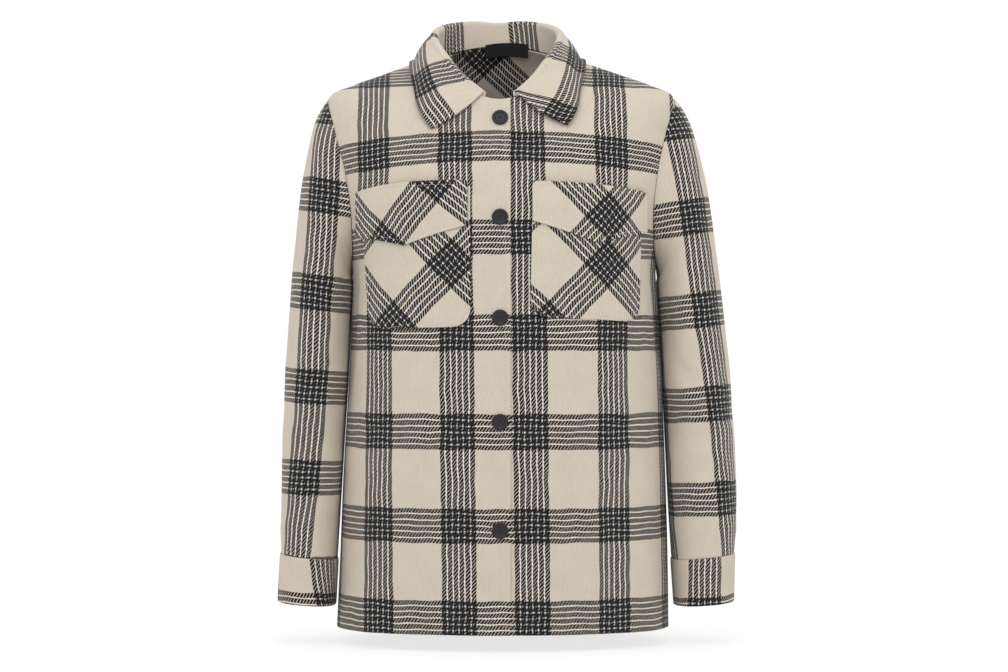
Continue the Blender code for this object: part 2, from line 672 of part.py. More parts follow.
def make_flap(flap, group):
    """One five-sided flap over a pocket."""
    outwards = 1 if flap.side == "left" else -1
    share = np.linspace(-1, 1, FLAP_COLUMNS + 1)
    across = share * flap.width / 2
    length = flap.side_length + (flap.point - flap.side_length) * (1 - np.abs(share))
    down = np.linspace(0, 1, FLAP_ROWS + 1)[:, None] * length
    z = flap.top - down - flap.tilt * outwards * across - flap.bend * across ** 2
    distance = np.repeat((flap.centre + across)[None, :], FLAP_ROWS + 1, axis=0)
    return front_patch("flap_" + flap.side, flap.side, distance, z, (FLAP_SPACE, FLAP_CLOTH), group)


def make_button(number, height, group):
    """One turned button with a raised rim, standing on the upper front."""
    profile = [
        (0.0, BUTTON_THICKNESS - BUTTON_DISH),
        (BUTTON_RADIUS - BUTTON_RIM - BUTTON_SLOPE, BUTTON_THICKNESS - BUTTON_DISH),
        (BUTTON_RADIUS - BUTTON_RIM, BUTTON_THICKNESS),
        (BUTTON_RADIUS - BUTTON_TOP_EDGE, BUTTON_THICKNESS),
        (BUTTON_RADIUS, BUTTON_THICKNESS - BUTTON_SIDE_EDGE),
        (BUTTON_RADIUS - BUTTON_SLOPE, 0.0),
        (0.0, 0.0),
    ]
    name = "button_" + str(number)
    mesh = bpy.data.meshes.new(name)
    build = bmesh.new()
    chain = [build.verts.new((radius, 0.0, z)) for radius, z in profile]
    for first, second in zip(chain, chain[1:]):
        build.edges.new((first, second))
    build.to_mesh(mesh)
    build.free()
    button = add_object(name, mesh, BLACK_RESIN, group)
    screw = button.modifiers.new("turned", "SCREW")
    screw.angle = math.tau
    screw.steps = BUTTON_SEGMENTS
    screw.render_steps = BUTTON_SEGMENTS
    screw.use_merge_vertices = True
    screw.merge_threshold = MERGE
    level, turn = find_front(np.array(BUTTON_LINE), np.array(height))
    seat = body_skin(level, turn, np.array(UPPER_RISE + BUTTON_SPACE))
    facing = Vector(body_facing(level, turn))
    button.location = Vector(seat)
    button.rotation_euler = facing.to_track_quat("Z", "Y").to_euler()
    return button


def make_label(group):
    """The bare label, lying inside the neck across the collar seam."""
    middle = math.pi - LABEL_CENTRE / along(BODY, "back", np.array([1.0]))[0]
    half = LABEL_WIDTH / 2 / along(BODY, "half_width", np.array([1.0]))[0]
    turn = np.linspace(middle - half, middle + half, LABEL_COLUMNS + 1)
    seam = body_skin(np.ones_like(turn), turn)
    inward = unit(np.stack([-np.sin(turn), np.cos(turn), np.zeros_like(turn)], axis=-1))
    front = seam + inward * (CLOTH / 2 + TWO_PLY / 2 + LABEL_SPACE + LABEL_THICKNESS)
    back = front - inward * LABEL_THICKNESS
    rows = []
    for z in (LABEL_TOP - LABEL_HEIGHT, LABEL_TOP):
        pair = []
        for edge in (front, back):
            line = edge.copy()
            line[:, 2] = z
            pair.append(line)
        rows.append(pair)
    outer = np.array([rows[0][0], rows[1][0]])
    inner = np.array([rows[0][1], rows[1][1]])
    return grid_object("label", outer, inner, BLACK_TAPE, group)


def main():
    """Build every piece of the shacket."""
    clear_scene()
    group = bpy.data.collections.new("shacket")
    bpy.context.scene.collection.children.link(group)
    make_back(group)
    make_yoke(group)
    make_collar(group)
    make_label(group)
    for side in ("right", "left"):
        make_front(side, group)
        make_sleeve(side, group)
        make_cuff(side, group)
    for pocket in POCKETS:
        make_pocket(pocket, group)
    for flap in FLAPS:
        make_flap(flap, group)
    for number, height in enumerate(BUTTON_HEIGHTS, start=1):
        make_button(number, height, group)


main()
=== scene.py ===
"""Looks of the plaid wool shacket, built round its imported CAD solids.

Metres, +Z up, the garment faces -Y and +X is the wearer's left. Every piece of cloth is worked out again from
the sizes of its solid, on a finer grid, and carries a map of its yarns in a UV layer named "cloth": u counts
the metres across the warp and v the metres along it, both from the middle of a band of the plaid.
"""

import logging
import math
from dataclasses import dataclass, field
from enum import Enum
from typing import NamedTuple, Sequence

import bmesh
import bpy
import numpy as np
from mathutils import Matrix, Vector
from mathutils.kdtree import KDTree


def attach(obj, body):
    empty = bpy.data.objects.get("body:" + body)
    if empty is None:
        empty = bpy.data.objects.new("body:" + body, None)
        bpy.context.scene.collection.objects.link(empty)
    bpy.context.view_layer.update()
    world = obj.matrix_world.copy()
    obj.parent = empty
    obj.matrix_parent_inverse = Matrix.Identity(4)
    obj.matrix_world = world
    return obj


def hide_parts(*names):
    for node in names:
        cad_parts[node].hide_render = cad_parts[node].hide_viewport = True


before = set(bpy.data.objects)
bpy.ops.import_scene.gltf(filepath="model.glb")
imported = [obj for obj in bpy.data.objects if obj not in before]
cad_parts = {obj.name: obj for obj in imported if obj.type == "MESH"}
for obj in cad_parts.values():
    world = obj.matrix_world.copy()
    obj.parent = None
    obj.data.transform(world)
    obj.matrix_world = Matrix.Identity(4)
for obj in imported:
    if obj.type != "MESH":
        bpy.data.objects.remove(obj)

LOG = logging.getLogger("shacket")
Array = np.ndarray
UP = np.array([0.0, 0.0, 1.0])
TINY = 1e-12
WELD = 1e-6
MILLIMETRES = 1000.0


class Side(Enum):
    """The wearer's side that a piece belongs to."""

    RIGHT = "right"
    LEFT = "left"

    @property
    def sign(self) -> int:
        """Sign of x on this side."""
        return -1 if self is Side.RIGHT else 1


class Held(Enum):
    """How a sheet of cloth is held, in the frame's own words."""

    HUNG = "hung"
    FOLDED = "folded"
    LAID = "laid"


class Edge(Enum):
    """An edge of a grid of cloth."""

    FIRST_COLUMN = 1
    LAST_COLUMN = 2
    FIRST_ROW = 3
    LAST_ROW = 4


class Section(NamedTuple):
    """One section of the body form."""

    level: float
    z_front: float
    z_side: float
    z_back: float
    half_width: float
    front: float
    back: float
    power: float
    shift: float


class Fold(NamedTuple):
    """A soft fold of the body; a trough has a negative depth."""

    turn_low: float
    turn_high: float
    low: float
    high: float
    width: float
    depth: float


class Ring(NamedTuple):
    """One ring of a sleeve."""

    place: float
    z_out: float
    z_in: float
    out_right: float
    in_right: float
    out_left: float
    in_left: float
    y: float
    half_depth: float
    power: float


class Crease(NamedTuple):
    """A soft crease of a sleeve."""

    place: float
    turn: float
    slant: float
    length: float
    width: float
    depth: float


class Station(NamedTuple):
    """One station round the collar."""

    spread: float
    roll_x: float
    roll_y: float
    roll_z: float
    edge_x: float
    edge_y: float
    edge_z: float


class Yarn(NamedTuple):
    """Plaid of a sleeve: a height, x of the lengthwise band's inner edge there and the cloth's run to it."""

    z: float
    x: float
    run: float


class Rise(NamedTuple):
    """A height on the fronts and the cloth's run up to it."""

    z: float
    run: float


class Turning(NamedTuple):
    """One point of a button's turned outline."""

    radius: float
    height: float


def ease(x: Array) -> Array:
    """Smooth step from 0 to 1."""
    x = np.clip(x, 0.0, 1.0)
    return x * x * (3 - 2 * x)


def signed_power(x: Array, power: Array) -> Array:
    """Power of the size of x, with the sign of x."""
    return np.sign(x) * np.abs(x) ** power


def unit(vectors: Array) -> Array:
    """Each vector at length one."""
    return vectors / np.maximum(np.linalg.norm(vectors, axis=-1, keepdims=True), TINY)


def column(rows: Sequence[NamedTuple], name: str, at: Array) -> Array:
    """Smooth curve through one column of a table.

    Args:
        rows: the table, in order of its first column.
        name: the column to read.
        at: the places to read it at.

    Returns:
        The column's value at each place.
    """
    place = np.array([row[0] for row in rows], dtype=float)
    value = np.array([getattr(row, name) for row in rows], dtype=float)
    step = np.diff(place)
    rate = np.diff(value) / step
    slope = np.empty_like(value)
    slope[0] = rate[0]
    slope[-1] = rate[-1]
    slope[1:-1] = (rate[:-1] * step[1:] + rate[1:] * step[:-1]) / (step[:-1] + step[1:])
    at = np.clip(at, place[0], place[-1])
    k = np.clip(np.searchsorted(place, at, side="right") - 1, 0, len(step) - 1)
    u = (at - place[k]) / step[k]
    start = (1 + 2 * u) * (1 - u) ** 2 * value[k] + u * (1 - u) ** 2 * step[k] * slope[k]
    end = u * u * (3 - 2 * u) * value[k + 1] + u * u * (u - 1) * step[k] * slope[k + 1]
    return start + end


def crowded(count: int, pull: float = 0.6) -> Array:
    """Places from 0 to 1, closer together at both ends, so that seams and edges get fine rows."""
    share = np.linspace(0, 1, count + 1)
    return (1 - pull) * share + pull * (1 - np.cos(np.pi * share)) / 2


def along(at: Array, run: Array, line: Array) -> Array:
    """Points of a line, or directions along it, at places on its run."""
    return np.stack([np.interp(at, run, values) for values in line.T], axis=-1)


def run_along(points: Array, axis: int) -> Array:
    """Length of the way along one axis of a grid of points, from 0 at its start."""
    step = np.linalg.norm(np.diff(points, axis=axis), axis=-1)
    start = np.zeros_like(np.take(step, [0], axis=axis))
    return np.concatenate([start, np.cumsum(step, axis=axis)], axis=axis)


BODY = [
    Section(0.00, -0.680, -0.681, -0.679, 0.1985, 0.131, 0.127, 2.25, -0.0015),
    Section(0.12, -0.585, -0.588, -0.586, 0.1958, 0.131, 0.128, 2.25, 0.0000),
    Section(0.24, -0.492, -0.495, -0.493, 0.1925, 0.131, 0.128, 2.30, 0.0005),
    Section(0.36, -0.399, -0.402, -0.400, 0.1880, 0.131, 0.127, 2.35, 0.0015),
    Section(0.48, -0.307, -0.309, -0.308, 0.1835, 0.131, 0.127, 2.40, 0.0015),
    Section(0.55, -0.254, -0.252, -0.252, 0.1815, 0.130, 0.127, 2.40, 0.0000),
    Section(0.62, -0.206, -0.196, -0.197, 0.1900, 0.128, 0.127, 2.40, -0.0020),
    Section(0.69, -0.163, -0.140, -0.144, 0.2020, 0.124, 0.125, 2.35, -0.0030),
    Section(0.76, -0.129, -0.086, -0.092, 0.2090, 0.117, 0.119, 2.30, -0.0040),
    Section(0.80, -0.113, -0.051, -0.066, 0.2070, 0.111, 0.112, 2.25, -0.0030),
    Section(0.85, -0.098, -0.035, -0.047, 0.1780, 0.106, 0.103, 2.20, -0.0025),
    Section(0.90, -0.085, -0.0225, -0.027, 0.1430, 0.100, 0.092, 2.15, -0.0030),
    Section(0.95, -0.072, -0.0105, -0.004, 0.1090, 0.095, 0.081, 2.10, -0.0045),
    Section(1.00, -0.059, 0.000, 0.019, 0.0750, 0.090, 0.070, 2.00, -0.0054),
]
FOLDS = [
    Fold(-79, -74, 0.32, 0.60, 5.0, -0.0035),
    Fold(78, 74, 0.38, 0.60, 5.0, -0.0030),
    Fold(-50, -44, 0.00, 0.30, 9.0, 0.0025),
    Fold(-24, -28, 0.00, 0.22, 8.0, -0.0020),
    Fold(36, 40, 0.00, 0.26, 9.0, -0.0025),
    Fold(58, 52, 0.00, 0.32, 9.0, 0.0025),
    Fold(128, 122, 0.30, 0.66, 7.0, -0.0045),
    Fold(-130, -123, 0.26, 0.66, 7.0, -0.0045),
    Fold(148, 155, 0.00, 0.60, 9.0, 0.0040),
    Fold(-146, -152, 0.00, 0.62, 9.0, 0.0040),
    Fold(166, 172, 0.04, 0.44, 7.0, -0.0030),
    Fold(-168, -170, 0.08, 0.50, 8.0, -0.0030),
]


@dataclass(frozen=True)
class BodyForm:
    """The body's outer skin: sections, folds and the edges of its panels."""

    underarm: float = 0.55
    shoulder: float = 0.80
    armhole_front: float = 0.063
    armhole_back: float = 0.072
    armhole_power: float = 2.1
    seam: float = 0.0003
    front_edge: float = 0.0075
    under_edge: float = -0.022
    upper_rise: float = 0.0013
    under_rise: float = -0.0011
    rise_fade: float = 0.040
    fold_end: float = 1 / 3
    step: float = 1e-3
    search_low: float = 0.05
    search_high: float = 0.999
    search_steps: int = 40
    run_steps: int = 400

    def form(self, level: Array, turn: Array) -> Array:
        """Point on the plain form, before its folds; turn is 0 at the centre front, in radians.

        Args:
            level: 0 at the hem, 1 at the neck seam.
            turn: 0 at the centre front, in radians.

        Returns:
            The points.
        """
        level, turn = np.broadcast_arrays(np.asarray(level, float), np.asarray(turn, float))
        forward = np.cos(turn) > 0
        depth = np.where(forward, -column(BODY, "front", level), column(BODY, "back", level))
        z_middle = np.where(forward, column(BODY, "z_front", level), column(BODY, "z_back", level))
        z_side = column(BODY, "z_side", level)
        power = 2 / column(BODY, "power", level)
        half_width = column(BODY, "half_width", level)
        x = column(BODY, "shift", level) + half_width * signed_power(np.sin(turn), power)
        y = depth * np.abs(np.cos(turn)) ** power
        z = z_side + (z_middle - z_side) * np.cos(turn) ** 2
        return np.stack([x, y, z], axis=-1)

    def facing(self, level: Array, turn: Array) -> Array:
        """Outward direction of the plain form.

        Args:
            level: 0 at the hem, 1 at the neck seam.
            turn: 0 at the centre front, in radians.

        Returns:
            The directions, at length one.
        """
        low = np.maximum(np.asarray(level, float) - self.step, 0.0)
        high = np.minimum(np.asarray(level, float) + self.step, 1.0)
        turn = np.asarray(turn, float)
        up = self.form(high, turn) - self.form(low, turn)
        around = self.form(level, turn + self.step) - self.form(level, turn - self.step)
        return unit(np.cross(around, up))

    def fold_height(self, level: Array, turn: Array) -> Array:
        """How far the folds move the cloth outwards.

        Args:
            level: 0 at the hem, 1 at the neck seam.
            turn: 0 at the centre front, in radians.

        Returns:
            The move, in metres.
        """
        level, turn = np.broadcast_arrays(np.asarray(level, float), np.asarray(turn, float))
        height = np.zeros(level.shape)
        degrees = np.degrees(turn)
        for fold in FOLDS:
            part = (level - fold.low) / (fold.high - fold.low)
            centre = fold.turn_low + (fold.turn_high - fold.turn_low) * np.clip(part, 0, 1)
            away = (degrees - centre + 180) % 360 - 180
            start = 1.0 if fold.low == 0 else 0.0
            ends = ease(part / self.fold_end + start) * ease((1 - part) / self.fold_end)
            height = height + fold.depth * ends * np.exp(-(away / fold.width) ** 2)
        return height

    def skin(self, level: Array, turn: Array, rise: Array = 0.0) -> Array:
        """Point on the outer skin, moved outwards by rise."""
        lift = (self.fold_height(level, turn) + rise)[..., None]
        return self.form(level, turn) + self.facing(level, turn) * lift

    def turn_at_x(self, level: Array, x: Array) -> Array:
        """Turn of the front where the form has the width x.

        Args:
            level: 0 at the hem, 1 at the neck seam.
            x: the place across the front.

        Returns:
            The turn, in radians.
        """
        across = (x - column(BODY, "shift", level)) / column(BODY, "half_width", level)
        across = np.clip(across, -1.0, 1.0)
        return np.arcsin(signed_power(across, column(BODY, "power", level) / 2))

    def side_turn(self, level: Array, is_front: bool) -> Array:
        """Turn of a panel's outer edge: the side seam, the armhole or the shoulder seam.

        Args:
            level: 0 at the hem, 1 at the neck seam.
            is_front: true for a front's edge.

        Returns:
            The turn on the wearer's left, in radians.
        """
        z = column(BODY, "z_side", level)
        low = column(BODY, "z_side", np.array([self.underarm]))[0]
        high = column(BODY, "z_side", np.array([self.shoulder]))[0]
        part = np.clip(np.abs(2 * (z - low) / (high - low) - 1), 0, 1)
        inside = (level > self.underarm) & (level < self.shoulder)
        reach = self.armhole_front if is_front else self.armhole_back
        arm = reach * (1 - part ** self.armhole_power) ** (1 / self.armhole_power)
        reach = np.maximum(np.where(inside, arm, 0.0), self.seam / 2)
        depth = column(BODY, "front" if is_front else "back", level)
        turn = np.arccos((reach / depth) ** (column(BODY, "power", level) / 2))
        return turn if is_front else math.pi - turn

    def levels(self, hem_rows: int, arm_rows: int, neck_rows: int) -> Array:
        """Levels of the rows of a body panel, close together where the armhole turns.

        Args:
            hem_rows: steps below the underarm.
            arm_rows: steps along the armhole.
            neck_rows: steps from the shoulder to the neck seam.

        Returns:
            The levels, hem first.
        """
        hem = np.linspace(0.0, self.underarm, hem_rows + 1)
        sweep = (1 - np.cos(np.pi * np.arange(1, arm_rows + 1) / arm_rows)) / 2
        arm = self.underarm + (self.shoulder - self.underarm) * sweep
        neck = np.linspace(self.shoulder, 1.0, neck_rows + 1)[1:]
        return np.concatenate([hem, arm, neck])

    def front_rise(self, x: Array, is_upper: bool) -> Array:
        """Step of a front near the closure, where one front lies over the other.

        Args:
            x: the place across the front.
            is_upper: true for the wearer's right front.

        Returns:
            The step outwards, in metres.
        """
        if is_upper:
            return self.upper_rise * ease((x - self.under_edge + self.rise_fade) / self.rise_fade)
        return self.under_rise * ease((self.front_edge + self.rise_fade - x) / self.rise_fade)

    def find_front(self, x: Array, z: Array) -> tuple[Array, Array]:
        """Level and turn of the front where it has the given x and z.

        Args:
            x: the place across the front.
            z: its height.

        Returns:
            The level and the turn.
        """
        low = np.full(np.shape(x), self.search_low)
        high = np.full(np.shape(x), self.search_high)
        for _ in range(self.search_steps):
            middle = (low + high) / 2
            above = self.form(middle, self.turn_at_x(middle, x))[..., 2] > z
            high = np.where(above, middle, high)
            low = np.where(above, low, middle)
        return middle, self.turn_at_x(middle, x)

    def front_run(self, level: float) -> tuple[Array, Array]:
        """Table of x against the way round the front from x = 0, on the section at a level.

        Args:
            level: the section's level.

        Returns:
            x and the way round, at the same points.
        """
        turn = np.linspace(-math.pi / 2, math.pi / 2, self.run_steps)
        ring = self.form(np.full_like(turn, level), turn)
        run = run_along(ring[:, :2], 0)
        return ring[:, 0], run - np.interp(0.0, ring[:, 0], run)


FORM = BodyForm()


class NodeBoard:
    """A material's node tree, with short ways to add and join its nodes."""

    def __init__(self, name: str) -> None:
        """Start a material of this name.

        Args:
            name: the material's name.
        """
        self.material = bpy.data.materials.new(name)
        self.material.use_nodes = True
        self.nodes = self.material.node_tree.nodes
        self.links = self.material.node_tree.links
        self.shader = self.nodes["Principled BSDF"]

    def put(self, socket: bpy.types.NodeSocket, value: object) -> None:
        """Set a socket to a value, or link it to another node's output.

        Args:
            socket: the socket to feed.
            value: a value or a node's output.
        """
        if isinstance(value, bpy.types.NodeSocket):
            self.links.new(value, socket)
        else:
            socket.default_value = value

    def math(self, operation: str, *values: object) -> bpy.types.NodeSocket:
        """One Math node on up to three values.

        Args:
            operation: the node's operation.
            values: values or outputs, in socket order.

        Returns:
            The node's output.
        """
        node = self.nodes.new("ShaderNodeMath")
        node.operation = operation
        for socket, value in zip(node.inputs, values):
            self.put(socket, value)
        return node.outputs[0]

    def fade(self, value: object, low: float, high: float, start: float = 0.0,
             end: float = 1.0) -> bpy.types.NodeSocket:
        """Smooth step of a value from start at low to end at high.

        Args:
            value: the value or its output.
            low: where the step starts.
            high: where it ends.
            start: result at low.
            end: result at high.

        Returns:
            The node's output.
        """
        node = self.nodes.new("ShaderNodeMapRange")
        node.interpolation_type = "SMOOTHSTEP"
        for socket, given in zip(node.inputs, (value, low, high, start, end)):
            self.put(socket, given)
        return node.outputs[0]

    def mix(self, share: object, first: object, second: object) -> bpy.types.NodeSocket:
        """Mix of two colours.

        Args:
            share: share of the second colour.
            first: a colour or its output.
            second: a colour or its output.

        Returns:
            The mixed colour.
        """
        node = self.nodes.new("ShaderNodeMix")
        node.data_type = "RGBA"
        self.put(node.inputs["Factor"], share)
        self.put([s for s in node.inputs if s.name == "A" and s.type == "RGBA"][0], first)
        self.put([s for s in node.inputs if s.name == "B" and s.type == "RGBA"][0], second)
        return [s for s in node.outputs if s.type == "RGBA"][0]

    def join(self, x: object, y: object, z: object = 0.0) -> bpy.types.NodeSocket:
        """Vector of three values.

        Args:
            x: first value.
            y: second value.
            z: third value.

        Returns:
            The vector.
        """
        node = self.nodes.new("ShaderNodeCombineXYZ")
        for socket, value in zip(node.inputs, (x, y, z)):
            self.put(socket, value)
        return node.outputs[0]

    def scaled(self, vector: object, by: object) -> bpy.types.NodeSocket:
        """A vector or a colour times a number.

        Args:
            vector: a vector or a colour.
            by: the number.

        Returns:
            The product.
        """
        node = self.nodes.new("ShaderNodeVectorMath")
        node.operation = "SCALE"
        self.put(node.inputs[0], vector)
        self.put(node.inputs["Scale"], by)
        return node.outputs[0]

    def split(self, vector: bpy.types.NodeSocket) -> list[bpy.types.NodeSocket]:
        """The three values of a vector.

        Args:
            vector: the vector.

        Returns:
            Its three values.
        """
        node = self.nodes.new("ShaderNodeSeparateXYZ")
        self.put(node.inputs[0], vector)
        return list(node.outputs)

    def noise(self, vector: bpy.types.NodeSocket, scale: float, detail: float = 2.0) -> bpy.types.Node:
        """Noise texture on a vector.

        Args:
            vector: where the noise is read.
            scale: its fineness.
            detail: its number of finer layers.

        Returns:
            The node.
        """
        node = self.nodes.new("ShaderNodeTexNoise")
        self.put(node.inputs["Vector"], vector)
        node.inputs["Scale"].default_value = scale
        node.inputs["Detail"].default_value = detail
        return node

    def uv(self) -> bpy.types.NodeSocket:
        """The piece's own map of its yarns.

        Returns:
            The map, in metres.
        """
        node = self.nodes.new("ShaderNodeUVMap")
        node.uv_map = "cloth"
        return node.outputs[0]

    def place(self) -> bpy.types.NodeSocket:
        """Object coordinates, in metres."""
        return self.nodes.new("ShaderNodeTexCoord").outputs["Object"]

    def surface(self, colour: object, roughness: object, height: object = None, depth: float = 0.001,
                strength: float = 1.0, **fixed: float) -> bpy.types.Material:
        """Finish the material: colour, roughness, bump and values set on the shader's own sockets.

        Args:
            colour: base colour or its socket.
            roughness: roughness or its socket.
            height: bump height socket, if any.
            depth: bump distance in metres.
            strength: bump strength.
            fixed: further shader sockets, with underscores for spaces.

        Returns:
            The material.
        """
        self.put(self.shader.inputs["Base Color"], colour)
        self.put(self.shader.inputs["Roughness"], roughness)
        for name, value in fixed.items():
            self.shader.inputs[name.replace("_", " ")].default_value = value
        if height is not None:
            bump = self.nodes.new("ShaderNodeBump")
            bump.inputs["Distance"].default_value = depth
            bump.inputs["Strength"].default_value = strength
            self.put(bump.inputs["Height"], height)
            self.put(self.shader.inputs["Normal"], bump.outputs["Normal"])
        return self.material


@dataclass(frozen=True)
class PlaidWool:
    """Brushed wool in a steep twill, with bands of six dark stripes and five white lines both ways.

    Its sizes are millimetres of cloth, apart from the relief, which is in metres. Its noise scales are
    steps for each millimetre.
    """

    cream: tuple[float, ...] = (0.509, 0.443, 0.363, 1.0)
    cream_weft: tuple[float, ...] = (0.547, 0.483, 0.402, 1.0)
    dark: tuple[float, ...] = (0.0085, 0.0082, 0.0092, 1.0)
    dark_fuzz: tuple[float, ...] = (0.046, 0.043, 0.041, 1.0)
    white: tuple[float, ...] = (0.76, 0.745, 0.72, 1.0)
    across: float = 100.5
    along: float = 109.3
    pitch: float = 7.0
    stripe: float = 5.8
    stripes: int = 6
    blur: float = 0.30
    twill_across: float = 3.8
    twill_along: float = 4.7
    twill_soft: float = 0.07
    warp_lead: float = 0.31
    weft_lead: float = 0.28
    cross_lead: float = 0.18
    white_lead: float = 0.08
    ragged: float = 1.3
    ragged_scale: float = 0.45
    wander: float = 4.0
    wander_scale: float = 0.035
    wander_layers: float = 1.0
    mottle: float = 0.16
    mottle_scale: float = 0.035
    mottle_layers: float = 4.0
    streak: float = 0.14
    streak_scale: float = 0.45
    streak_stretch: float = 0.12
    speck: float = 0.16
    speck_scale: float = 0.6
    nap: float = 0.20
    nap_scale: float = 1.1
    nap_layers: float = 3.0
    fuzz: float = 0.6
    fuzz_low: float = 0.48
    fuzz_high: float = 0.80
    ridge: float = 0.35
    relief: float = 0.0006
    relief_strength: float = 0.5
    smooth: float = 0.86
    rough: float = 0.97
    smooth_to: float = 0.2
    rough_from: float = 0.8
    shine: float = 0.2
    sheen: float = 0.10
    sheen_rough: float = 0.5

    def band(self, board: NodeBoard, at: bpy.types.NodeSocket, repeat: float) -> tuple:
        """Shares of dark and of white yarn at a place across the bands.

        Args:
            board: the material's nodes.
            at: place across the bands, in millimetres from the middle of one.
            repeat: way from one band to the next.

        Returns:
            The shares of dark and of white yarn.
        """
        away = board.math("WRAP", at, repeat / 2, -repeat / 2)
        half = (self.stripes * self.stripe + (self.stripes - 1) * (self.pitch - self.stripe)) / 2
        inside = board.fade(board.math("ABSOLUTE", away), half - self.blur, half + self.blur, 1.0, 0.0)
        local = board.math("WRAP", board.math("ADD", away, self.pitch / 2), self.pitch / 2, -self.pitch / 2)
        edge = self.stripe / 2
        dark = board.fade(board.math("ABSOLUTE", local), edge - self.blur, edge + self.blur, 1.0, 0.0)
        dark = board.math("MULTIPLY", dark, inside)
        white = board.math("SUBTRACT", inside, dark)
        return dark, white

    def place(self, board: NodeBoard, cloth: bpy.types.NodeSocket) -> tuple:
        """Places across and along the cloth, moved a little so that its lines wander and fray.

        Args:
            board: the material's nodes.
            cloth: the yarn map, in millimetres.

        Returns:
            The places across and along, in millimetres.
        """
        u, v, _ = board.split(cloth)
        rag = board.split(board.noise(cloth, self.ragged_scale).outputs["Color"])
        slow = board.split(board.noise(cloth, self.wander_scale, self.wander_layers).outputs["Color"])
        places = []
        for at, fine, wide in ((u, rag[0], slow[0]), (v, rag[1], slow[1])):
            at = board.math("MULTIPLY_ADD", board.math("SUBTRACT", fine, 0.5), self.ragged, at)
            places.append(board.math("MULTIPLY_ADD", board.math("SUBTRACT", wide, 0.5), self.wander, at))
        return tuple(places)

    def over(self, board: NodeBoard, ridge: bpy.types.NodeSocket, warp: tuple,
             weft: tuple) -> bpy.types.NodeSocket:
        """Share of the warp on top: thick dark yarn hides more of what crosses it, and white more than cream.

        Args:
            board: the material's nodes.
            ridge: height of the twill's ridge, 0 to 1.
            warp: shares of dark and of white in the warp.
            weft: shares of dark and of white in the weft.

        Returns:
            The share, 0 to 1.
        """
        lead = board.math("MULTIPLY", warp[0], self.warp_lead)
        lead = board.math("MULTIPLY_ADD", weft[0], -self.weft_lead, lead)
        lead = board.math("MULTIPLY_ADD", board.math("SUBTRACT", warp[1], weft[1]), self.white_lead, lead)
        crossed = board.math("SUBTRACT", board.math("MULTIPLY", warp[0], weft[1]),
                             board.math("MULTIPLY", weft[0], warp[1]))
        lead = board.math("MULTIPLY_ADD", crossed, self.cross_lead, lead)
        return board.fade(board.math("ADD", ridge, lead), 0.5 - self.twill_soft, 0.5 + self.twill_soft)

    def material(self, name: str) -> bpy.types.Material:
        """Make the wool's material.

        Args:
            name: the material's name.

        Returns:
            The material.
        """
        board = NodeBoard(name)
        cloth = board.scaled(board.uv(), MILLIMETRES)
        u, v = self.place(board, cloth)
        warp_yarn = self.band(board, u, self.across)
        weft_yarn = self.band(board, v, self.along)
        phase = board.math("SUBTRACT", board.math("DIVIDE", u, self.twill_across),
                           board.math("DIVIDE", v, self.twill_along))
        ridge = board.math("MULTIPLY", board.math("PINGPONG", phase, 0.5), 2.0)
        over = self.over(board, ridge, warp_yarn, weft_yarn)
        nap = board.noise(cloth, self.nap_scale, self.nap_layers).outputs[0]
        fuzz = board.fade(nap, self.fuzz_low, self.fuzz_high)
        dark = board.mix(board.math("MULTIPLY", fuzz, self.fuzz), self.dark, self.dark_fuzz)
        warp = board.mix(warp_yarn[1], board.mix(warp_yarn[0], self.cream, dark), self.white)
        weft = board.mix(weft_yarn[1], board.mix(weft_yarn[0], self.cream_weft, dark), self.white)
        mottle = board.noise(cloth, self.mottle_scale, self.mottle_layers).outputs[0]
        slub = board.join(u, board.math("MULTIPLY", v, self.streak_stretch))
        streak = board.noise(slub, self.streak_scale).outputs[0]
        speck = board.noise(cloth, self.speck_scale).outputs[0]
        tone = 1.0
        for value, depth in ((mottle, self.mottle), (streak, self.streak), (speck, self.speck),
                             (nap, self.nap)):
            tone = board.math("MULTIPLY_ADD", board.math("SUBTRACT", value, 0.5), depth, tone)
        colour = board.scaled(board.mix(over, weft, warp), tone)
        height = board.math("MULTIPLY_ADD", ridge, self.ridge, nap)
        rough = board.fade(nap, self.smooth_to, self.rough_from, self.smooth, self.rough)
        return board.surface(colour, rough, height, self.relief, self.relief_strength,
                             Specular_IOR_Level=self.shine, Sheen_Weight=self.sheen,
                             Sheen_Roughness=self.sheen_rough)


@dataclass(frozen=True)
class ButtonResin:
    """Black moulded resin with a faint turned grain."""

    colour: tuple[float, ...] = (0.0075, 0.0075, 0.010, 1.0)
    dust: tuple[float, ...] = (0.012, 0.012, 0.016, 1.0)
    grain_scale: float = 900.0
    grain_layers: float = 3.0
    dust_from: float = 0.45
    dust_to: float = 0.75
    polished: float = 0.38
    worn: float = 0.55
    polished_to: float = 0.3
    worn_from: float = 0.8
    relief: float = 0.00005
    relief_strength: float = 0.4
    shine: float = 0.35

    def material(self, name: str) -> bpy.types.Material:
        """Make the resin's material.

        Args:
            name: the material's name.

        Returns:
            The material.
        """
        board = NodeBoard(name)
        grain = board.noise(board.place(), self.grain_scale, self.grain_layers).outputs[0]
        colour = board.mix(board.fade(grain, self.dust_from, self.dust_to), self.colour, self.dust)
        rough = board.fade(grain, self.polished_to, self.worn_from, self.polished, self.worn)
        return board.surface(colour, rough, grain, self.relief, self.relief_strength,
                             Specular_IOR_Level=self.shine)


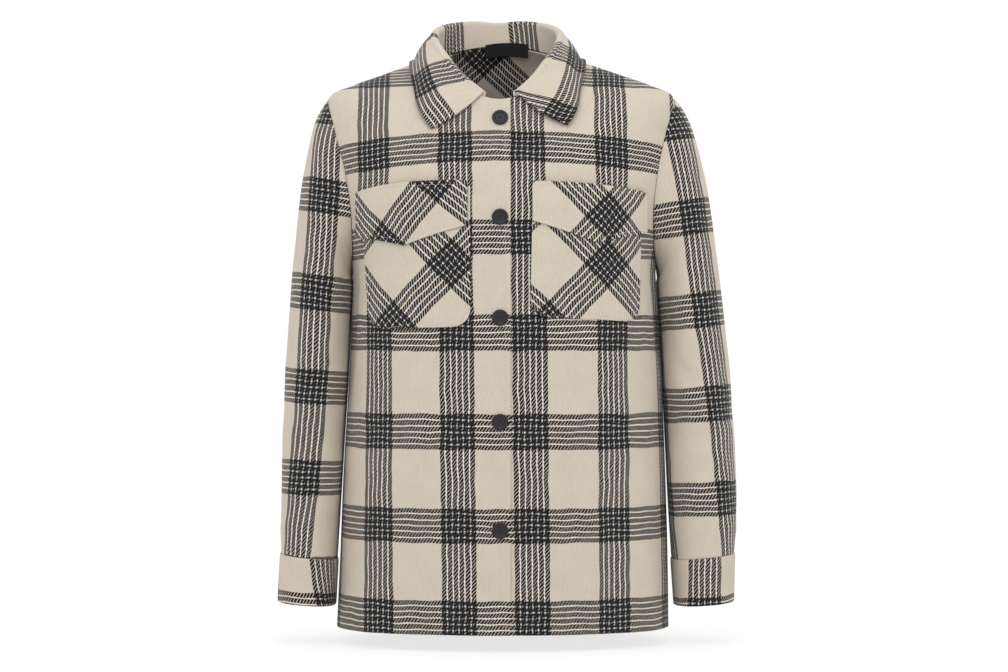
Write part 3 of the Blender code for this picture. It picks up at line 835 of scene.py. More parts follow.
@dataclass(frozen=True)
class LabelTape:
    """Black satin-woven tape."""

    colour: tuple[float, ...] = (0.0050, 0.0050, 0.0055, 1.0)
    light: tuple[float, ...] = (0.013, 0.013, 0.014, 1.0)
    ribs: float = 2200.0
    threads: float = 3000.0
    matt: float = 0.80
    satin: float = 0.62
    relief: float = 0.00008
    relief_strength: float = 0.6
    shine: float = 0.2

    def material(self, name: str) -> bpy.types.Material:
        """Make the tape's material.

        Args:
            name: the material's name.

        Returns:
            The material.
        """
        board = NodeBoard(name)
        u, v, _ = board.split(board.uv())
        rib = board.math("PINGPONG", board.math("MULTIPLY", v, self.ribs), 1.0)
        thread = board.math("PINGPONG", board.math("MULTIPLY", u, self.threads), 1.0)
        weave = board.math("MULTIPLY", rib, thread)
        colour = board.mix(weave, self.colour, self.light)
        rough = board.fade(weave, 0.0, 1.0, self.matt, self.satin)
        return board.surface(colour, rough, weave, self.relief, self.relief_strength,
                             Specular_IOR_Level=self.shine)


@dataclass(frozen=True)
class SewingThread:
    """Cream cotton-wrapped sewing thread."""

    colour: tuple[float, ...] = (0.62, 0.54, 0.44, 1.0)
    shade: tuple[float, ...] = (0.46, 0.39, 0.31, 1.0)
    twist_scale: float = 1400.0
    roughness: float = 0.75
    relief: float = 0.00005
    relief_strength: float = 0.5

    def material(self, name: str) -> bpy.types.Material:
        """Make the thread's material.

        Args:
            name: the material's name.

        Returns:
            The material.
        """
        board = NodeBoard(name)
        twist = board.noise(board.place(), self.twist_scale).outputs[0]
        colour = board.mix(twist, self.shade, self.colour)
        return board.surface(colour, self.roughness, twist, self.relief, self.relief_strength)


@dataclass(frozen=True)
class StudioPaper:
    """Plain pale studio floor, lit softly from below, so that its shadows stay light."""

    colour: tuple[float, ...] = (0.26, 0.26, 0.26, 1.0)
    glow: float = 0.74
    roughness: float = 0.9
    grain_scale: float = 60.0
    grain_layers: float = 3.0
    relief: float = 0.0002
    relief_strength: float = 0.1
    shine: float = 0.1

    def material(self, name: str) -> bpy.types.Material:
        """Make the paper's material.

        Args:
            name: the material's name.

        Returns:
            The material.
        """
        board = NodeBoard(name)
        grain = board.noise(board.place(), self.grain_scale, self.grain_layers).outputs[0]
        board.shader.inputs["Emission Color"].default_value = (1.0, 1.0, 1.0, 1.0)
        return board.surface(self.colour, self.roughness, grain, self.relief, self.relief_strength,
                             Specular_IOR_Level=self.shine, Emission_Strength=self.glow)


@dataclass(frozen=True)
class Finishes:
    """Every material of the scene, made once."""

    wool: bpy.types.Material
    resin: bpy.types.Material
    tape: bpy.types.Material
    thread: bpy.types.Material

    @classmethod
    def make(cls) -> "Finishes":
        """Make the materials."""
        return cls(PlaidWool().material("brushed_plaid_wool"), ButtonResin().material("black_button_resin"),
                   LabelTape().material("black_label_tape"), SewingThread().material("cream_sewing_thread"))


def finish_mesh(build: bmesh.types.BMesh, name: str, material: bpy.types.Material) -> bpy.types.Object:
    """Object at the origin for a bmesh, smooth, with one material.

    Args:
        build: the finished faces.
        name: the object's name.
        material: its material.

    Returns:
        The object, linked to the scene.
    """
    mesh = bpy.data.meshes.new(name)
    build.to_mesh(mesh)
    build.free()
    mesh.shade_smooth()
    mesh.materials.append(material)
    piece = bpy.data.objects.new(name, mesh)
    bpy.context.scene.collection.objects.link(piece)
    return piece


def seat(piece: bpy.types.Object, node: str) -> None:
    """Ride a piece on the garment, in the place of its CAD node.

    Args:
        piece: the object.
        node: its CAD node.
    """
    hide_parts(node)
    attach(piece, "root")


@dataclass
class Cloth:
    """One piece of cloth as a grid of outer points, with its yarn map."""

    name: str
    points: Array
    facing: Array
    grain: Array
    thickness: float = 0.0018
    closed: bool = False
    offset: float = -1.0
    edge: float = 0.0006
    edge_angle: float = 50.0

    def away(self, edge: Edge) -> Array:
        """Way of every point from one edge.

        Args:
            edge: the edge to measure from.

        Returns:
            The way, for every point of the grid.
        """
        run = run_along(self.points, 1 if edge in (Edge.FIRST_COLUMN, Edge.LAST_COLUMN) else 0)
        if edge is Edge.LAST_COLUMN:
            return run[:, -1:] - run
        return run[-1:] - run if edge is Edge.LAST_ROW else run

    def dip(self, edges: dict[Edge, float], reach: float = 0.0022, inset: float = 0.0) -> None:
        """Sink the cloth along some of its edges, or in a line inside them.

        Args:
            edges: depth of the dip for each edge.
            reach: how far the dip runs.
            inset: way of its middle from the edge.
        """
        sink = np.zeros(self.points.shape[:2])
        for edge, depth in edges.items():
            sink = np.maximum(sink, depth * np.exp(-((self.away(edge) - inset) / reach) ** 2))
        self.points = self.points - self.facing * sink[..., None]

    def line(self, edge: Edge, inset: float, trim: float = 0.0) -> tuple[Array, Array]:
        """Line of points inside one edge.

        Args:
            edge: the edge that the line follows.
            inset: way of the line from the edge.
            trim: length left off at each end.

        Returns:
            The points, and the outward direction at each.
        """
        grids = [self.points, self.facing]
        if edge in (Edge.FIRST_ROW, Edge.LAST_ROW):
            grids = [np.swapaxes(grid, 0, 1) for grid in grids]
        if edge in (Edge.LAST_COLUMN, Edge.LAST_ROW):
            grids = [grid[:, ::-1] for grid in grids]
        run = run_along(grids[0], 1)
        points, facing = [np.array([along(inset, way, row) for way, row in zip(run, grid)]) for grid in grids]
        way = run_along(points, 0)
        keep = (way >= trim) & (way <= way[-1] - trim)
        return points[keep], unit(facing[keep])

    def flat(self) -> tuple[float, float]:
        """Width and length of the rectangle that the flat cut fits in.

        Returns:
            The width and the length, in metres.
        """
        width = float(run_along(self.points, 1)[:, -1].max())
        length = float(run_along(self.points, 0)[-1].max())
        return width, length

    def make(self, material: bpy.types.Material) -> bpy.types.Object:
        """Build the cloth as a thin shell: a grid laid on its points, given its thickness and soft edges.

        Args:
            material: the cloth's material.

        Returns:
            The object.
        """
        rows, columns = self.points.shape[:2]
        build = bmesh.new()
        bmesh.ops.create_grid(build, x_segments=columns - 1, y_segments=rows - 1, size=0.5)
        layer = build.loops.layers.uv.new("cloth")
        place = {}
        for vert in build.verts:
            place[vert] = (round((vert.co.y + 0.5) * (rows - 1)), round((vert.co.x + 0.5) * (columns - 1)))
        for face in build.faces:
            for loop in face.loops:
                loop[layer].uv = self.grain[place[loop.vert]]
        for vert, at in place.items():
            vert.co = self.points[at]
        if self.closed:
            rim = [vert for vert, at in place.items() if at[1] in (0, columns - 1)]
            bmesh.ops.remove_doubles(build, verts=rim, dist=WELD)
        build.normal_update()
        middle = build.faces[:][len(build.faces) // 2]
        at = place.get(middle.verts[0], (rows // 2, columns // 2))
        if middle.normal.dot(Vector(self.facing[at])) < 0:
            bmesh.ops.reverse_faces(build, faces=build.faces)
        piece = finish_mesh(build, self.name + "_cloth", material)
        wall = piece.modifiers.new("wall", "SOLIDIFY")
        wall.thickness = self.thickness
        wall.offset = self.offset
        wall.use_quality_normals = True
        soft = piece.modifiers.new("soft_edge", "BEVEL")
        soft.width = self.edge
        soft.segments = 2
        soft.limit_method = "ANGLE"
        soft.angle_limit = math.radians(self.edge_angle)
        return piece

    def finish(self, material: bpy.types.Material) -> bpy.types.Object:
        """Build the cloth in the place of its CAD node.

        Args:
            material: the cloth's material.

        Returns:
            The object.
        """
        piece = self.make(material)
        seat(piece, self.name)
        return piece


def grain_map(points: Array, facing: Array, start: Array, lean: Array, around: float) -> Array:
    """Yarn map of a panel, marched up from its lowest row.

    Args:
        points: rows of points from the hem up.
        facing: outward directions.
        start: u of the lowest row.
        lean: for each row, 0 where u runs level round the body and 1 where it runs along x.
        around: sign of x in the direction in which u grows.

    Returns:
        u and v of every point.
    """
    x_axis = np.array([around, 0.0, 0.0])
    grain = np.zeros(points.shape[:2] + (2,))
    grain[0, :, 0] = start
    for i in range(1, points.shape[0]):
        normal = unit(facing[i] + facing[i - 1])
        level = np.cross(UP, normal)
        straight = x_axis - normal * (normal @ x_axis)[:, None]
        across = unit(level * (1 - lean[i]) + straight * lean[i])
        upward = np.cross(normal, across)
        move = points[i] - points[i - 1]
        grain[i, :, 0] = grain[i - 1, :, 0] + (move * across).sum(axis=-1)
        grain[i, :, 1] = grain[i - 1, :, 1] + (move * upward).sum(axis=-1)
    return grain


def turned(grain: Array, degrees: float) -> Array:
    """A yarn map turned for a piece cut on the bias.

    Args:
        grain: the yarn map.
        degrees: the turn of the warp.

    Returns:
        The turned map.
    """
    angle = math.radians(degrees)
    u = grain[..., 0] * math.cos(angle) + grain[..., 1] * math.sin(angle)
    v = -grain[..., 0] * math.sin(angle) + grain[..., 1] * math.cos(angle)
    return np.stack([u, v], axis=-1)


@dataclass
class StitchRow:
    """A row of topstitching on a line of points."""

    name: str
    pitch: float = 0.0044
    length: float = 0.0032
    width: float = 0.0006
    height: float = 0.0005
    look_ahead: float = 0.001
    lines: list[tuple[Array, Array]] = field(default_factory=list)

    def add(self, points: Array, facing: Array) -> None:
        """Add a line of points, with the outward direction at each."""
        self.lines.append((points, facing))

    def make(self, material: bpy.types.Material) -> bpy.types.Object:
        """Build every stitch as a small rounded grain of thread.

        Args:
            material: the thread's material.

        Returns:
            The object, with every line's stitches.
        """
        build = bmesh.new()
        for points, facing in self.lines:
            run = run_along(points, 0)
            count = max(int(run[-1] / self.pitch), 1)
            at = (np.arange(count) + 0.5) * run[-1] / count
            out = unit(along(at, run, facing))
            ahead = unit(along(at + self.look_ahead, run, points) - along(at - self.look_ahead, run, points))
            for middle, normal, tangent in zip(along(at, run, points), out, ahead):
                side = Vector(np.cross(normal, tangent)).normalized()
                basis = Matrix((Vector(tangent) * self.length / 2, side * self.width / 2,
                                Vector(normal) * self.height / 2)).transposed().to_4x4()
                bmesh.ops.create_icosphere(build, subdivisions=1, radius=1.0,
                                           matrix=Matrix.Translation(Vector(middle)) @ basis)
        bmesh.ops.recalc_face_normals(build, faces=build.faces)
        piece = finish_mesh(build, self.name, material)
        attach(piece, "root")
        return piece


FRONT_RUN = [
    Rise(-0.7700, -0.1093),
    Rise(-0.6605, 0.0000),
    Rise(-0.5540, 0.1093),
    Rise(-0.4460, 0.2186),
    Rise(-0.3310, 0.3279),
    Rise(-0.2210, 0.4372),
    Rise(-0.1140, 0.5465),
    Rise(-0.0790, 0.5880),
    Rise(-0.0410, 0.6360),
    Rise(-0.0150, 0.6800),
    Rise(0.0100, 0.7250),
]


@dataclass
class BodyPanels:
    """The fronts, the back and the yoke, which share one skin."""

    finishes: Finishes
    stitches: StitchRow
    hem_rows: int = 112
    arm_rows: int = 60
    neck_rows: int = 34
    front_columns: int = 64
    back_columns: int = 128
    yoke_level: float = 0.776
    seam_level: float = 0.0002
    hem_band: float = 0.0195
    right_band: float = 0.0549
    left_band: float = -0.0299
    drift: float = 0.0110
    drift_z: float = -0.35
    straight_from: float = 0.55
    straight_over: float = 0.12
    spread: float = 1.4
    droop: float = 0.40
    droop_z: float = -0.29
    droop_end: float = -0.09
    droop_over: float = 0.12
    droop_fade: float = 0.05
    lean_from: float = 0.50
    lean_over: float = 0.2
    seam_dip: float = 0.0003
    seam_reach: float = 0.0040
    edge_inset: float = 0.0060
    groove: float = 0.0005
    groove_reach: float = 0.0014
    yoke_turn: float = 45.0
    cross_x: float = -0.0250
    cross_z: float = 0.0088

    def lean(self, levels: Array) -> Array:
        """Share of the x direction in the yarn map at each level."""
        return ease((levels - self.lean_from) / self.lean_over)

    def front_grain(self, form: Array, levels: Array) -> Array:
        """Yarn map of a front: across it along its sections, and up it by the heights of its level bands.

        Args:
            form: points of the front on the plain form.
            levels: the level of each row.

        Returns:
            u from x = 0 and v from the lowest band, at every point.
        """
        grain = np.zeros(form.shape[:2] + (2,))
        for i, level in enumerate(levels):
            xs, run = FORM.front_run(level)
            grain[i, :, 0] = np.interp(form[i, :, 0], xs, run)
        height = form[..., 2]
        x = form[..., 0]
        share = ease((levels - self.straight_from) / self.straight_over)[:, None]
        grain[..., 0] += (x + self.spread * x ** 3 - grain[..., 0]) * share
        grain[..., 0] += self.drift * (height - self.drift_z)
        part = (ease((height - self.droop_z) / self.droop_over)
                * ease((self.droop_end - height) / self.droop_fade + 1))
        grain[..., 1] = column(FRONT_RUN, "run", height + self.droop * x ** 2 * part)
        return grain

    def front(self, side: Side) -> bpy.types.Object:
        """One front, hem to neck seam.

        Args:
            side: the wearer's side.

        Returns:
            The object.
        """
        is_upper = side is Side.RIGHT
        levels = FORM.levels(self.hem_rows, self.arm_rows, self.neck_rows)
        start = FORM.turn_at_x(levels, FORM.front_edge if is_upper else FORM.under_edge)
        end = FORM.side_turn(levels, True) * side.sign
        share = crowded(self.front_columns)
        turn = start[:, None] + (end - start)[:, None] * share
        level = np.repeat(levels[:, None], share.size, axis=1)
        plain = FORM.form(level, turn)
        points = FORM.skin(level, turn, FORM.front_rise(plain[..., 0], is_upper))
        grain = self.front_grain(plain, levels)
        grain[..., 0] += self.right_band if is_upper else self.left_band
        cloth = Cloth("front_" + side.value, points, FORM.facing(level, turn), grain)
        cloth.dip({Edge.LAST_COLUMN: self.seam_dip}, self.seam_reach)
        if is_upper:
            cloth.dip({Edge.FIRST_COLUMN: self.groove}, self.groove_reach, self.edge_inset)
            self.stitches.add(*cloth.line(Edge.FIRST_COLUMN, self.edge_inset, self.edge_inset))
        return cloth.finish(self.finishes.wool)

    def back_grid(self, levels: Array) -> tuple[Array, Array]:
        """Levels and turns of a back panel between its two outer edges.

        Args:
            levels: the level of each row.

        Returns:
            The level and the turn of every point.
        """
        end = FORM.side_turn(levels, False)
        share = crowded(self.back_columns) * 2 - 1
        turn = math.pi + (math.pi - end)[:, None] * share
        return np.repeat(levels[:, None], share.size, axis=1), turn

    def on_bias(self, points: Array, grain: Array) -> Array:
        """The yoke's yarn map, turned round the place inside the neck where two of its bands cross.

        Args:
            points: points of the yoke.
            grain: its yarn map, straight.

        Returns:
            The map on the bias.
        """
        away = np.abs(points[..., 0] - self.cross_x) + np.abs(points[..., 2] - self.cross_z)
        away = away + (points[..., 1] < 0)
        at = np.unravel_index(np.argmin(away), away.shape)
        return turned(grain - grain[at], self.yoke_turn)

    def back_and_yoke(self) -> list[bpy.types.Object]:
        """The back, and the yoke above it on the bias.

        Returns:
            The two objects.
        """
        levels = FORM.levels(self.hem_rows, self.arm_rows, self.neck_rows)
        split = int(np.argmin(np.abs(levels - self.yoke_level)))
        made = []
        level, turn = self.back_grid(levels)
        points = FORM.skin(level, turn)
        facing = FORM.facing(level, turn)
        run = run_along(points, 1)[0]
        grain = grain_map(points, facing, run - run[-1] / 2, self.lean(levels), -1.0)
        grain[..., 1] -= self.hem_band
        for name, rows, row, move, edge, above in (
                ("back", slice(0, split + 1), -1, -self.seam_level, Edge.LAST_ROW, "yoke"),
                ("yoke", slice(split, None), 0, self.seam_level, Edge.FIRST_ROW, "collar")):
            own = levels[rows].copy()
            own[row] += move
            level, turn = self.back_grid(own)
            points = FORM.skin(level, turn)
            own_grain = self.on_bias(points, grain[rows]) if name == "yoke" else grain[rows]
            cloth = Cloth(name, points, FORM.facing(level, turn), own_grain)
            cloth.dip({Edge.FIRST_COLUMN: self.seam_dip, Edge.LAST_COLUMN: self.seam_dip}, self.seam_reach)
            cloth.dip({edge: self.seam_dip}, self.seam_reach)
            made.append(cloth.finish(self.finishes.wool))
        return made


SLEEVE = [
    Ring(0.00, -0.051, -0.252, 0.2100, 0.1815, 0.2040, 0.1815, 0.0045, 0.0675, 2.10),
    Ring(0.06, -0.060, -0.256, 0.2166, 0.1825, 0.2119, 0.1830, 0.0045, 0.0680, 2.10),
    Ring(0.12, -0.078, -0.261, 0.2260, 0.1822, 0.2220, 0.1836, 0.0050, 0.0690, 2.15),
    Ring(0.20, -0.112, -0.267, 0.2345, 0.1822, 0.2330, 0.1842, 0.0050, 0.0700, 2.20),
    Ring(0.28, -0.158, -0.275, 0.2430, 0.1825, 0.2435, 0.1845, 0.0050, 0.0710, 2.20),
    Ring(0.36, -0.206, -0.287, 0.2483, 0.1828, 0.2507, 0.1853, 0.0050, 0.0715, 2.25),
    Ring(0.44, -0.252, -0.304, 0.2530, 0.1838, 0.2565, 0.1863, 0.0040, 0.0710, 2.30),
    Ring(0.54, -0.312, -0.338, 0.2573, 0.1852, 0.2635, 0.1880, 0.0020, 0.0690, 2.30),
    Ring(0.64, -0.378, -0.388, 0.2615, 0.1876, 0.2700, 0.1904, -0.0010, 0.0660, 2.30),
    Ring(0.76, -0.452, -0.455, 0.2645, 0.1914, 0.2750, 0.1931, -0.0050, 0.0610, 2.30),
    Ring(0.88, -0.525, -0.530, 0.2657, 0.1954, 0.2777, 0.1962, -0.0090, 0.0560, 2.30),
    Ring(1.00, -0.593, -0.600, 0.2662, 0.1988, 0.2750, 0.2000, -0.0120, 0.0510, 2.30),
]
CREASES = [
    Crease(0.62, -120, 0.10, 60, 0.020, -0.0030),
    Crease(0.69, -110, 0.08, 70, 0.022, 0.0022),
    Crease(0.75, -75, -0.06, 60, 0.020, -0.0022),
    Crease(0.60, 115, -0.08, 65, 0.022, -0.0028),
    Crease(0.70, 80, 0.08, 70, 0.024, 0.0022),
    Crease(0.30, -75, 0.16, 40, 0.030, -0.0025),
    Crease(0.32, 85, -0.14, 45, 0.030, -0.0025),
    Crease(0.93, -60, 0.04, 70, 0.020, 0.0015),
]
YARNS = {
    Side.RIGHT: [
        Yarn(-0.6400, -0.2330, 0.4600),
        Yarn(-0.5018, -0.2175, 0.3279),
        Yarn(-0.3954, -0.2083, 0.2186),
        Yarn(-0.2848, -0.2030, 0.1093),
        Yarn(-0.1707, -0.1945, 0.0000),
        Yarn(-0.0300, -0.1965, -0.1450),
    ],
    Side.LEFT: [
        Yarn(-0.6400, 0.2620, 0.5560),
        Yarn(-0.5265, 0.2510, 0.4372),
        Yarn(-0.4142, 0.2391, 0.3279),
        Yarn(-0.3042, 0.2225, 0.2186),
        Yarn(-0.1949, 0.2083, 0.1093),
        Yarn(-0.0831, 0.1895, 0.0000),
        Yarn(-0.0300, 0.1830, -0.0550),
    ],
}


class CuffCut(NamedTuple):
    """Foot of a cuff: size of x at its outer and inner side, x of its dark band, height of its level one."""

    out: float
    inner: float
    band: float
    foot: float


CUFFS = {
    Side.RIGHT: CuffCut(0.2702, 0.2005, -0.2011, 0.0048),
    Side.LEFT: CuffCut(0.2745, 0.2025, 0.2176, 0.0102),
}


def oval(out_point: Array, in_point: Array, half_depth: Array, power: Array, around: Array) -> Array:
    """Rounded rings between an outer and an inner point, half_depth deep to the front and the back.

    Args:
        out_point: outermost point of each ring.
        in_point: innermost point of each ring.
        half_depth: half the depth of each ring.
        power: 2 for an ellipse, more for a fuller ring.
        around: angles round the ring.

    Returns:
        The rings, row by row.
    """
    centre = (out_point + in_point) / 2
    arm = (out_point - in_point) / 2
    exponent = 2 / power[:, None]
    points = centre[:, None, :] + signed_power(np.cos(around)[None, :], exponent)[..., None] * arm[:, None, :]
    points[..., 1] -= signed_power(np.sin(around)[None, :], exponent) * half_depth[:, None]
    return points


def tube_facing(points: Array) -> Array:
    """Outward direction of a tube of rings whose last column repeats its first.

    Args:
        points: the tube's rings.

    Returns:
        The directions, at length one.
    """
    ring = points[:, :-1]
    around = np.roll(ring, -1, axis=1) - np.roll(ring, 1, axis=1)
    facing = unit(np.cross(around, np.gradient(ring, axis=0)))
    outward = ring - ring.mean(axis=1, keepdims=True)
    facing = facing * np.sign(np.sum(facing[-1] * outward[-1]))
    return np.concatenate([facing, facing[:, :1]], axis=1)


@dataclass
class Sleeve:
    """A set-in sleeve and its cuff."""

    side: Side
    finishes: Finishes
    half_columns: int = 60
    rows: int = 130
    row_pull: float = 0.5
    crown_fade: float = 0.20
    armhole_space: float = 0.0002
    crease_start: float = 0.15
    crease_end: float = 0.04
    smooth_from: float = 0.3
    smooth_over: float = 0.5
    nest: float = 0.0024
    nest_y: float = 0.032
    nest_reach: float = 0.014
    nest_over: float = 0.08
    tilt_top: float = 0.16
    tilt_foot: float = 0.03
    tilt_from: float = 0.15
    tilt_over: float = 0.40
    tilt_pivot: float = 0.011
    half_band: float = 0.01975
    map_levels: int = 240
    seam_dip: float = 0.0003
    seam_reach: float = 0.0040
    cuff_rows: int = 18
    cuff_space: float = 0.0003
    cuff_proud: float = 0.0012
    cuff_z_out: float = -0.650
    cuff_z_in: float = -0.655
    cuff_y: float = -0.0135
    cuff_half_depth: float = 0.0515
    cuff_power: float = 2.3
    cuff_cloth: float = 0.0026
    cuff_edge: float = 0.0011

    def armhole(self) -> Array:
        """Points of the armhole edge: shoulder, down the front, underarm, up the back and closed.

        Returns:
            The points.
        """
        levels = FORM.levels(1, self.half_columns, 1)[1:-1]
        front = FORM.skin(levels, self.side.sign * FORM.side_turn(levels, True))
        back = FORM.skin(levels, self.side.sign * FORM.side_turn(levels, False))
        top = (front[-1] + back[-1]) / 2
        bottom = (front[0] + back[0]) / 2
        return np.concatenate([[top], front[-2:0:-1], [bottom], back[1:-1], [top]])

    def angles(self) -> Array:
        """Angles round the tube, from the outer side by the front, closed."""
        return 2 * np.pi * np.arange(2 * self.half_columns + 1) / (2 * self.half_columns)

    def crease_height(self, places: Array, around: Array) -> Array:
        """How far the creases move the cloth outwards.

        Args:
            places: place of each ring, 0 at the armhole and 1 at the cuff.
            around: angles round the tube.

        Returns:
            The move, in metres.
        """
        turn = -((np.degrees(around)[None, :] + 180) % 360 - 180)
        height = np.zeros((places.size, around.size))
        for crease in CREASES:
            away = (turn - crease.turn + 180) % 360 - 180
            line = crease.place + crease.slant * away / 100
            height += (crease.depth * np.exp(-((places[:, None] - line) / crease.width) ** 2)
                       * np.exp(-(away / crease.length) ** 2))
        ends = ease(places / self.crease_start) * ease((1 - places) / self.crease_end)
        inner = ease((-np.cos(around) - self.smooth_from) / self.smooth_over)[None, :]
        return height * ends[:, None] * (1 - inner)

    def skin(self) -> tuple[Array, Array]:
        """Outer points and outward directions of the sleeve, armhole to cuff.

        Returns:
            The points and the directions, ring by ring.
        """
        places = crowded(self.rows, self.row_pull)
        around = self.angles()
        sign = self.side.sign
        y = column(SLEEVE, "y", places)
        ends = [np.stack([sign * column(SLEEVE, f"{end}_{self.side.value}", places), y,
                          column(SLEEVE, "z_" + end, places)], axis=-1) for end in ("out", "in")]
        rings = oval(*ends, column(SLEEVE, "half_depth", places), column(SLEEVE, "power", places), around)
        loop = self.armhole()
        hole = unit((loop[:-1].mean(axis=0) - loop) * np.array([0.0, 1.0, 1.0]))
        hole[0] = hole[-1] = (sign, 0.0, 0.0)
        start = loop + self.armhole_space * (hole + np.array([sign, 0.0, 0.0]))
        fade = ease(1 - places / self.crown_fade)
        rings = rings + fade[:, None, None] * (start - rings[0])[None]
        beside = np.abs(rings[..., 1] - y[:, None]) - self.nest_y
        nest = self.nest * np.exp(-(beside / self.nest_reach) ** 2) * (np.cos(around) < 0)
        nest = nest * (ease((places - self.crown_fade) / self.nest_over)
                       * ease((1 - places) / self.nest_over))[:, None]
        rings[..., 0] -= sign * nest
        facing = tube_facing(rings)
        return rings + facing * self.crease_height(places, around)[..., None], facing

    def turned_ring(self, grid: Array) -> Array:
        """A closed grid started again at the inner side, so that its map breaks there."""
        start = np.roll(np.arange(2 * self.half_columns), self.half_columns)
        return grid[:, np.append(start, start[0])]

    def grain(self, ring: Array, band_x: Array | None = None) -> Array:
        """Yarn map: round the sleeve from its lengthwise band, and down it along the heights of its bands.

        Args:
            ring: rings of points from the inner side by the back, the outer side and the front, closed.
            band_x: x of the band's inner edge, where the table doesn't give it.

        Returns:
            u and v of every point.
        """
        sign = self.side.sign
        yarns = YARNS[self.side]
        height = ring[..., 2]
        levels = np.linspace(height.min(), height.max(), self.map_levels)
        section = np.stack([along(levels, line[::-1, 2], line[::-1, :2]) for line in np.swapaxes(ring, 0, 1)],
                           axis=1)
        run = run_along(section, 1)
        run = run - run[:, self.half_columns][:, None]
        edges = np.zeros(levels.size)
        for i, front in enumerate(section[:, self.half_columns:, 0]):
            edge = column(yarns, "x", levels[i:i + 1])[0] if band_x is None else band_x
            beyond = sign * (front - edge)
            inner = max(int(np.argmax(beyond < 0)) if (beyond < 0).any() else len(beyond) - 1, 1)
            share = beyond[inner - 1] / max(beyond[inner - 1] - beyond[inner], TINY)
            at = self.half_columns + inner - 1 + np.clip(share, 0, 1)
            edges[i] = np.interp(at, np.arange(run.shape[1]), run[i])
        grain = np.zeros(ring.shape[:2] + (2,))
        for j in range(ring.shape[1]):
            own = np.interp(height[:, j], levels, run[:, j] + self.half_band)
            grain[:, j, 0] = (own - np.interp(height[:, j], levels, edges)) * -sign
        lower = ease((-self.tilt_from - height) / self.tilt_over)
        tilt = self.tilt_top + (self.tilt_foot - self.tilt_top) * lower
        inward = sign * (column(yarns, "x", height) - ring[..., 0]) + self.tilt_pivot
        grain[..., 1] = -column(yarns, "run", height + tilt * inward)
        return grain

    def cuff_rings(self, top: Array, facing: Array) -> Array:
        """Rings of the cuff, from its seam down to its foot.

        Args:
            top: the sleeve's last ring.
            facing: its outward directions.

        Returns:
            The rings.
        """
        sign = self.side.sign
        cut = CUFFS[self.side]
        first = top + facing * self.cuff_proud
        first[:, 2] = top[:, 2] - self.cuff_space
        last = oval(np.array([[sign * cut.out, self.cuff_y, self.cuff_z_out]]),
                    np.array([[sign * cut.inner, self.cuff_y, self.cuff_z_in]]),
                    np.array([self.cuff_half_depth]), np.array([self.cuff_power]), self.angles())[0]
        return first[None] + (last - first)[None] * crowded(self.cuff_rows)[:, None, None]

    def make(self) -> list[bpy.types.Object]:
        """Build the sleeve and its cuff.

        Returns:
            The two objects.
        """
        points, facing = self.skin()
        rings = self.cuff_rings(points[-1], facing[-1])
        ring = self.turned_ring(points)
        cloth = Cloth("sleeve_" + self.side.value, ring, self.turned_ring(facing), self.grain(ring),
                      closed=True)
        cloth.dip({Edge.FIRST_ROW: self.seam_dip, Edge.LAST_ROW: self.seam_dip}, self.seam_reach)
        sleeve = cloth.finish(self.finishes.wool)
        ring = self.turned_ring(rings)
        grain = self.grain(ring, CUFFS[self.side].band)
        grain[..., 1] = ring[..., 2] - ring[-1, :, 2] + CUFFS[self.side].foot
        cuff = Cloth("cuff_" + self.side.value, ring, self.turned_ring(tube_facing(rings)), grain,
                     self.cuff_cloth, closed=True, edge=self.cuff_edge)
        cuff.dip({Edge.FIRST_ROW: self.seam_dip}, self.seam_reach)
        return [sleeve, cuff.finish(self.finishes.wool)]


COLLAR = [
    Station(0.00, 0.0000, 0.0765, 0.0445, 0.0000, 0.0925, -0.0020),
    Station(0.13, 0.0270, 0.0715, 0.0460, 0.0360, 0.0880, -0.0040),
    Station(0.25, 0.0510, 0.0550, 0.0425, 0.0680, 0.0730, -0.0080),
    Station(0.50, 0.0755, -0.0020, 0.0245, 0.1010, -0.0040, -0.0110),
    Station(0.72, 0.0630, -0.0560, -0.0050, 0.0975, -0.0700, -0.0470),
    Station(0.88, 0.0415, -0.0780, -0.0330, 0.0900, -0.0950, -0.0740),
    Station(1.00, 0.0185, -0.0895, -0.0525, 0.0795, -0.1045, -0.0900),
]


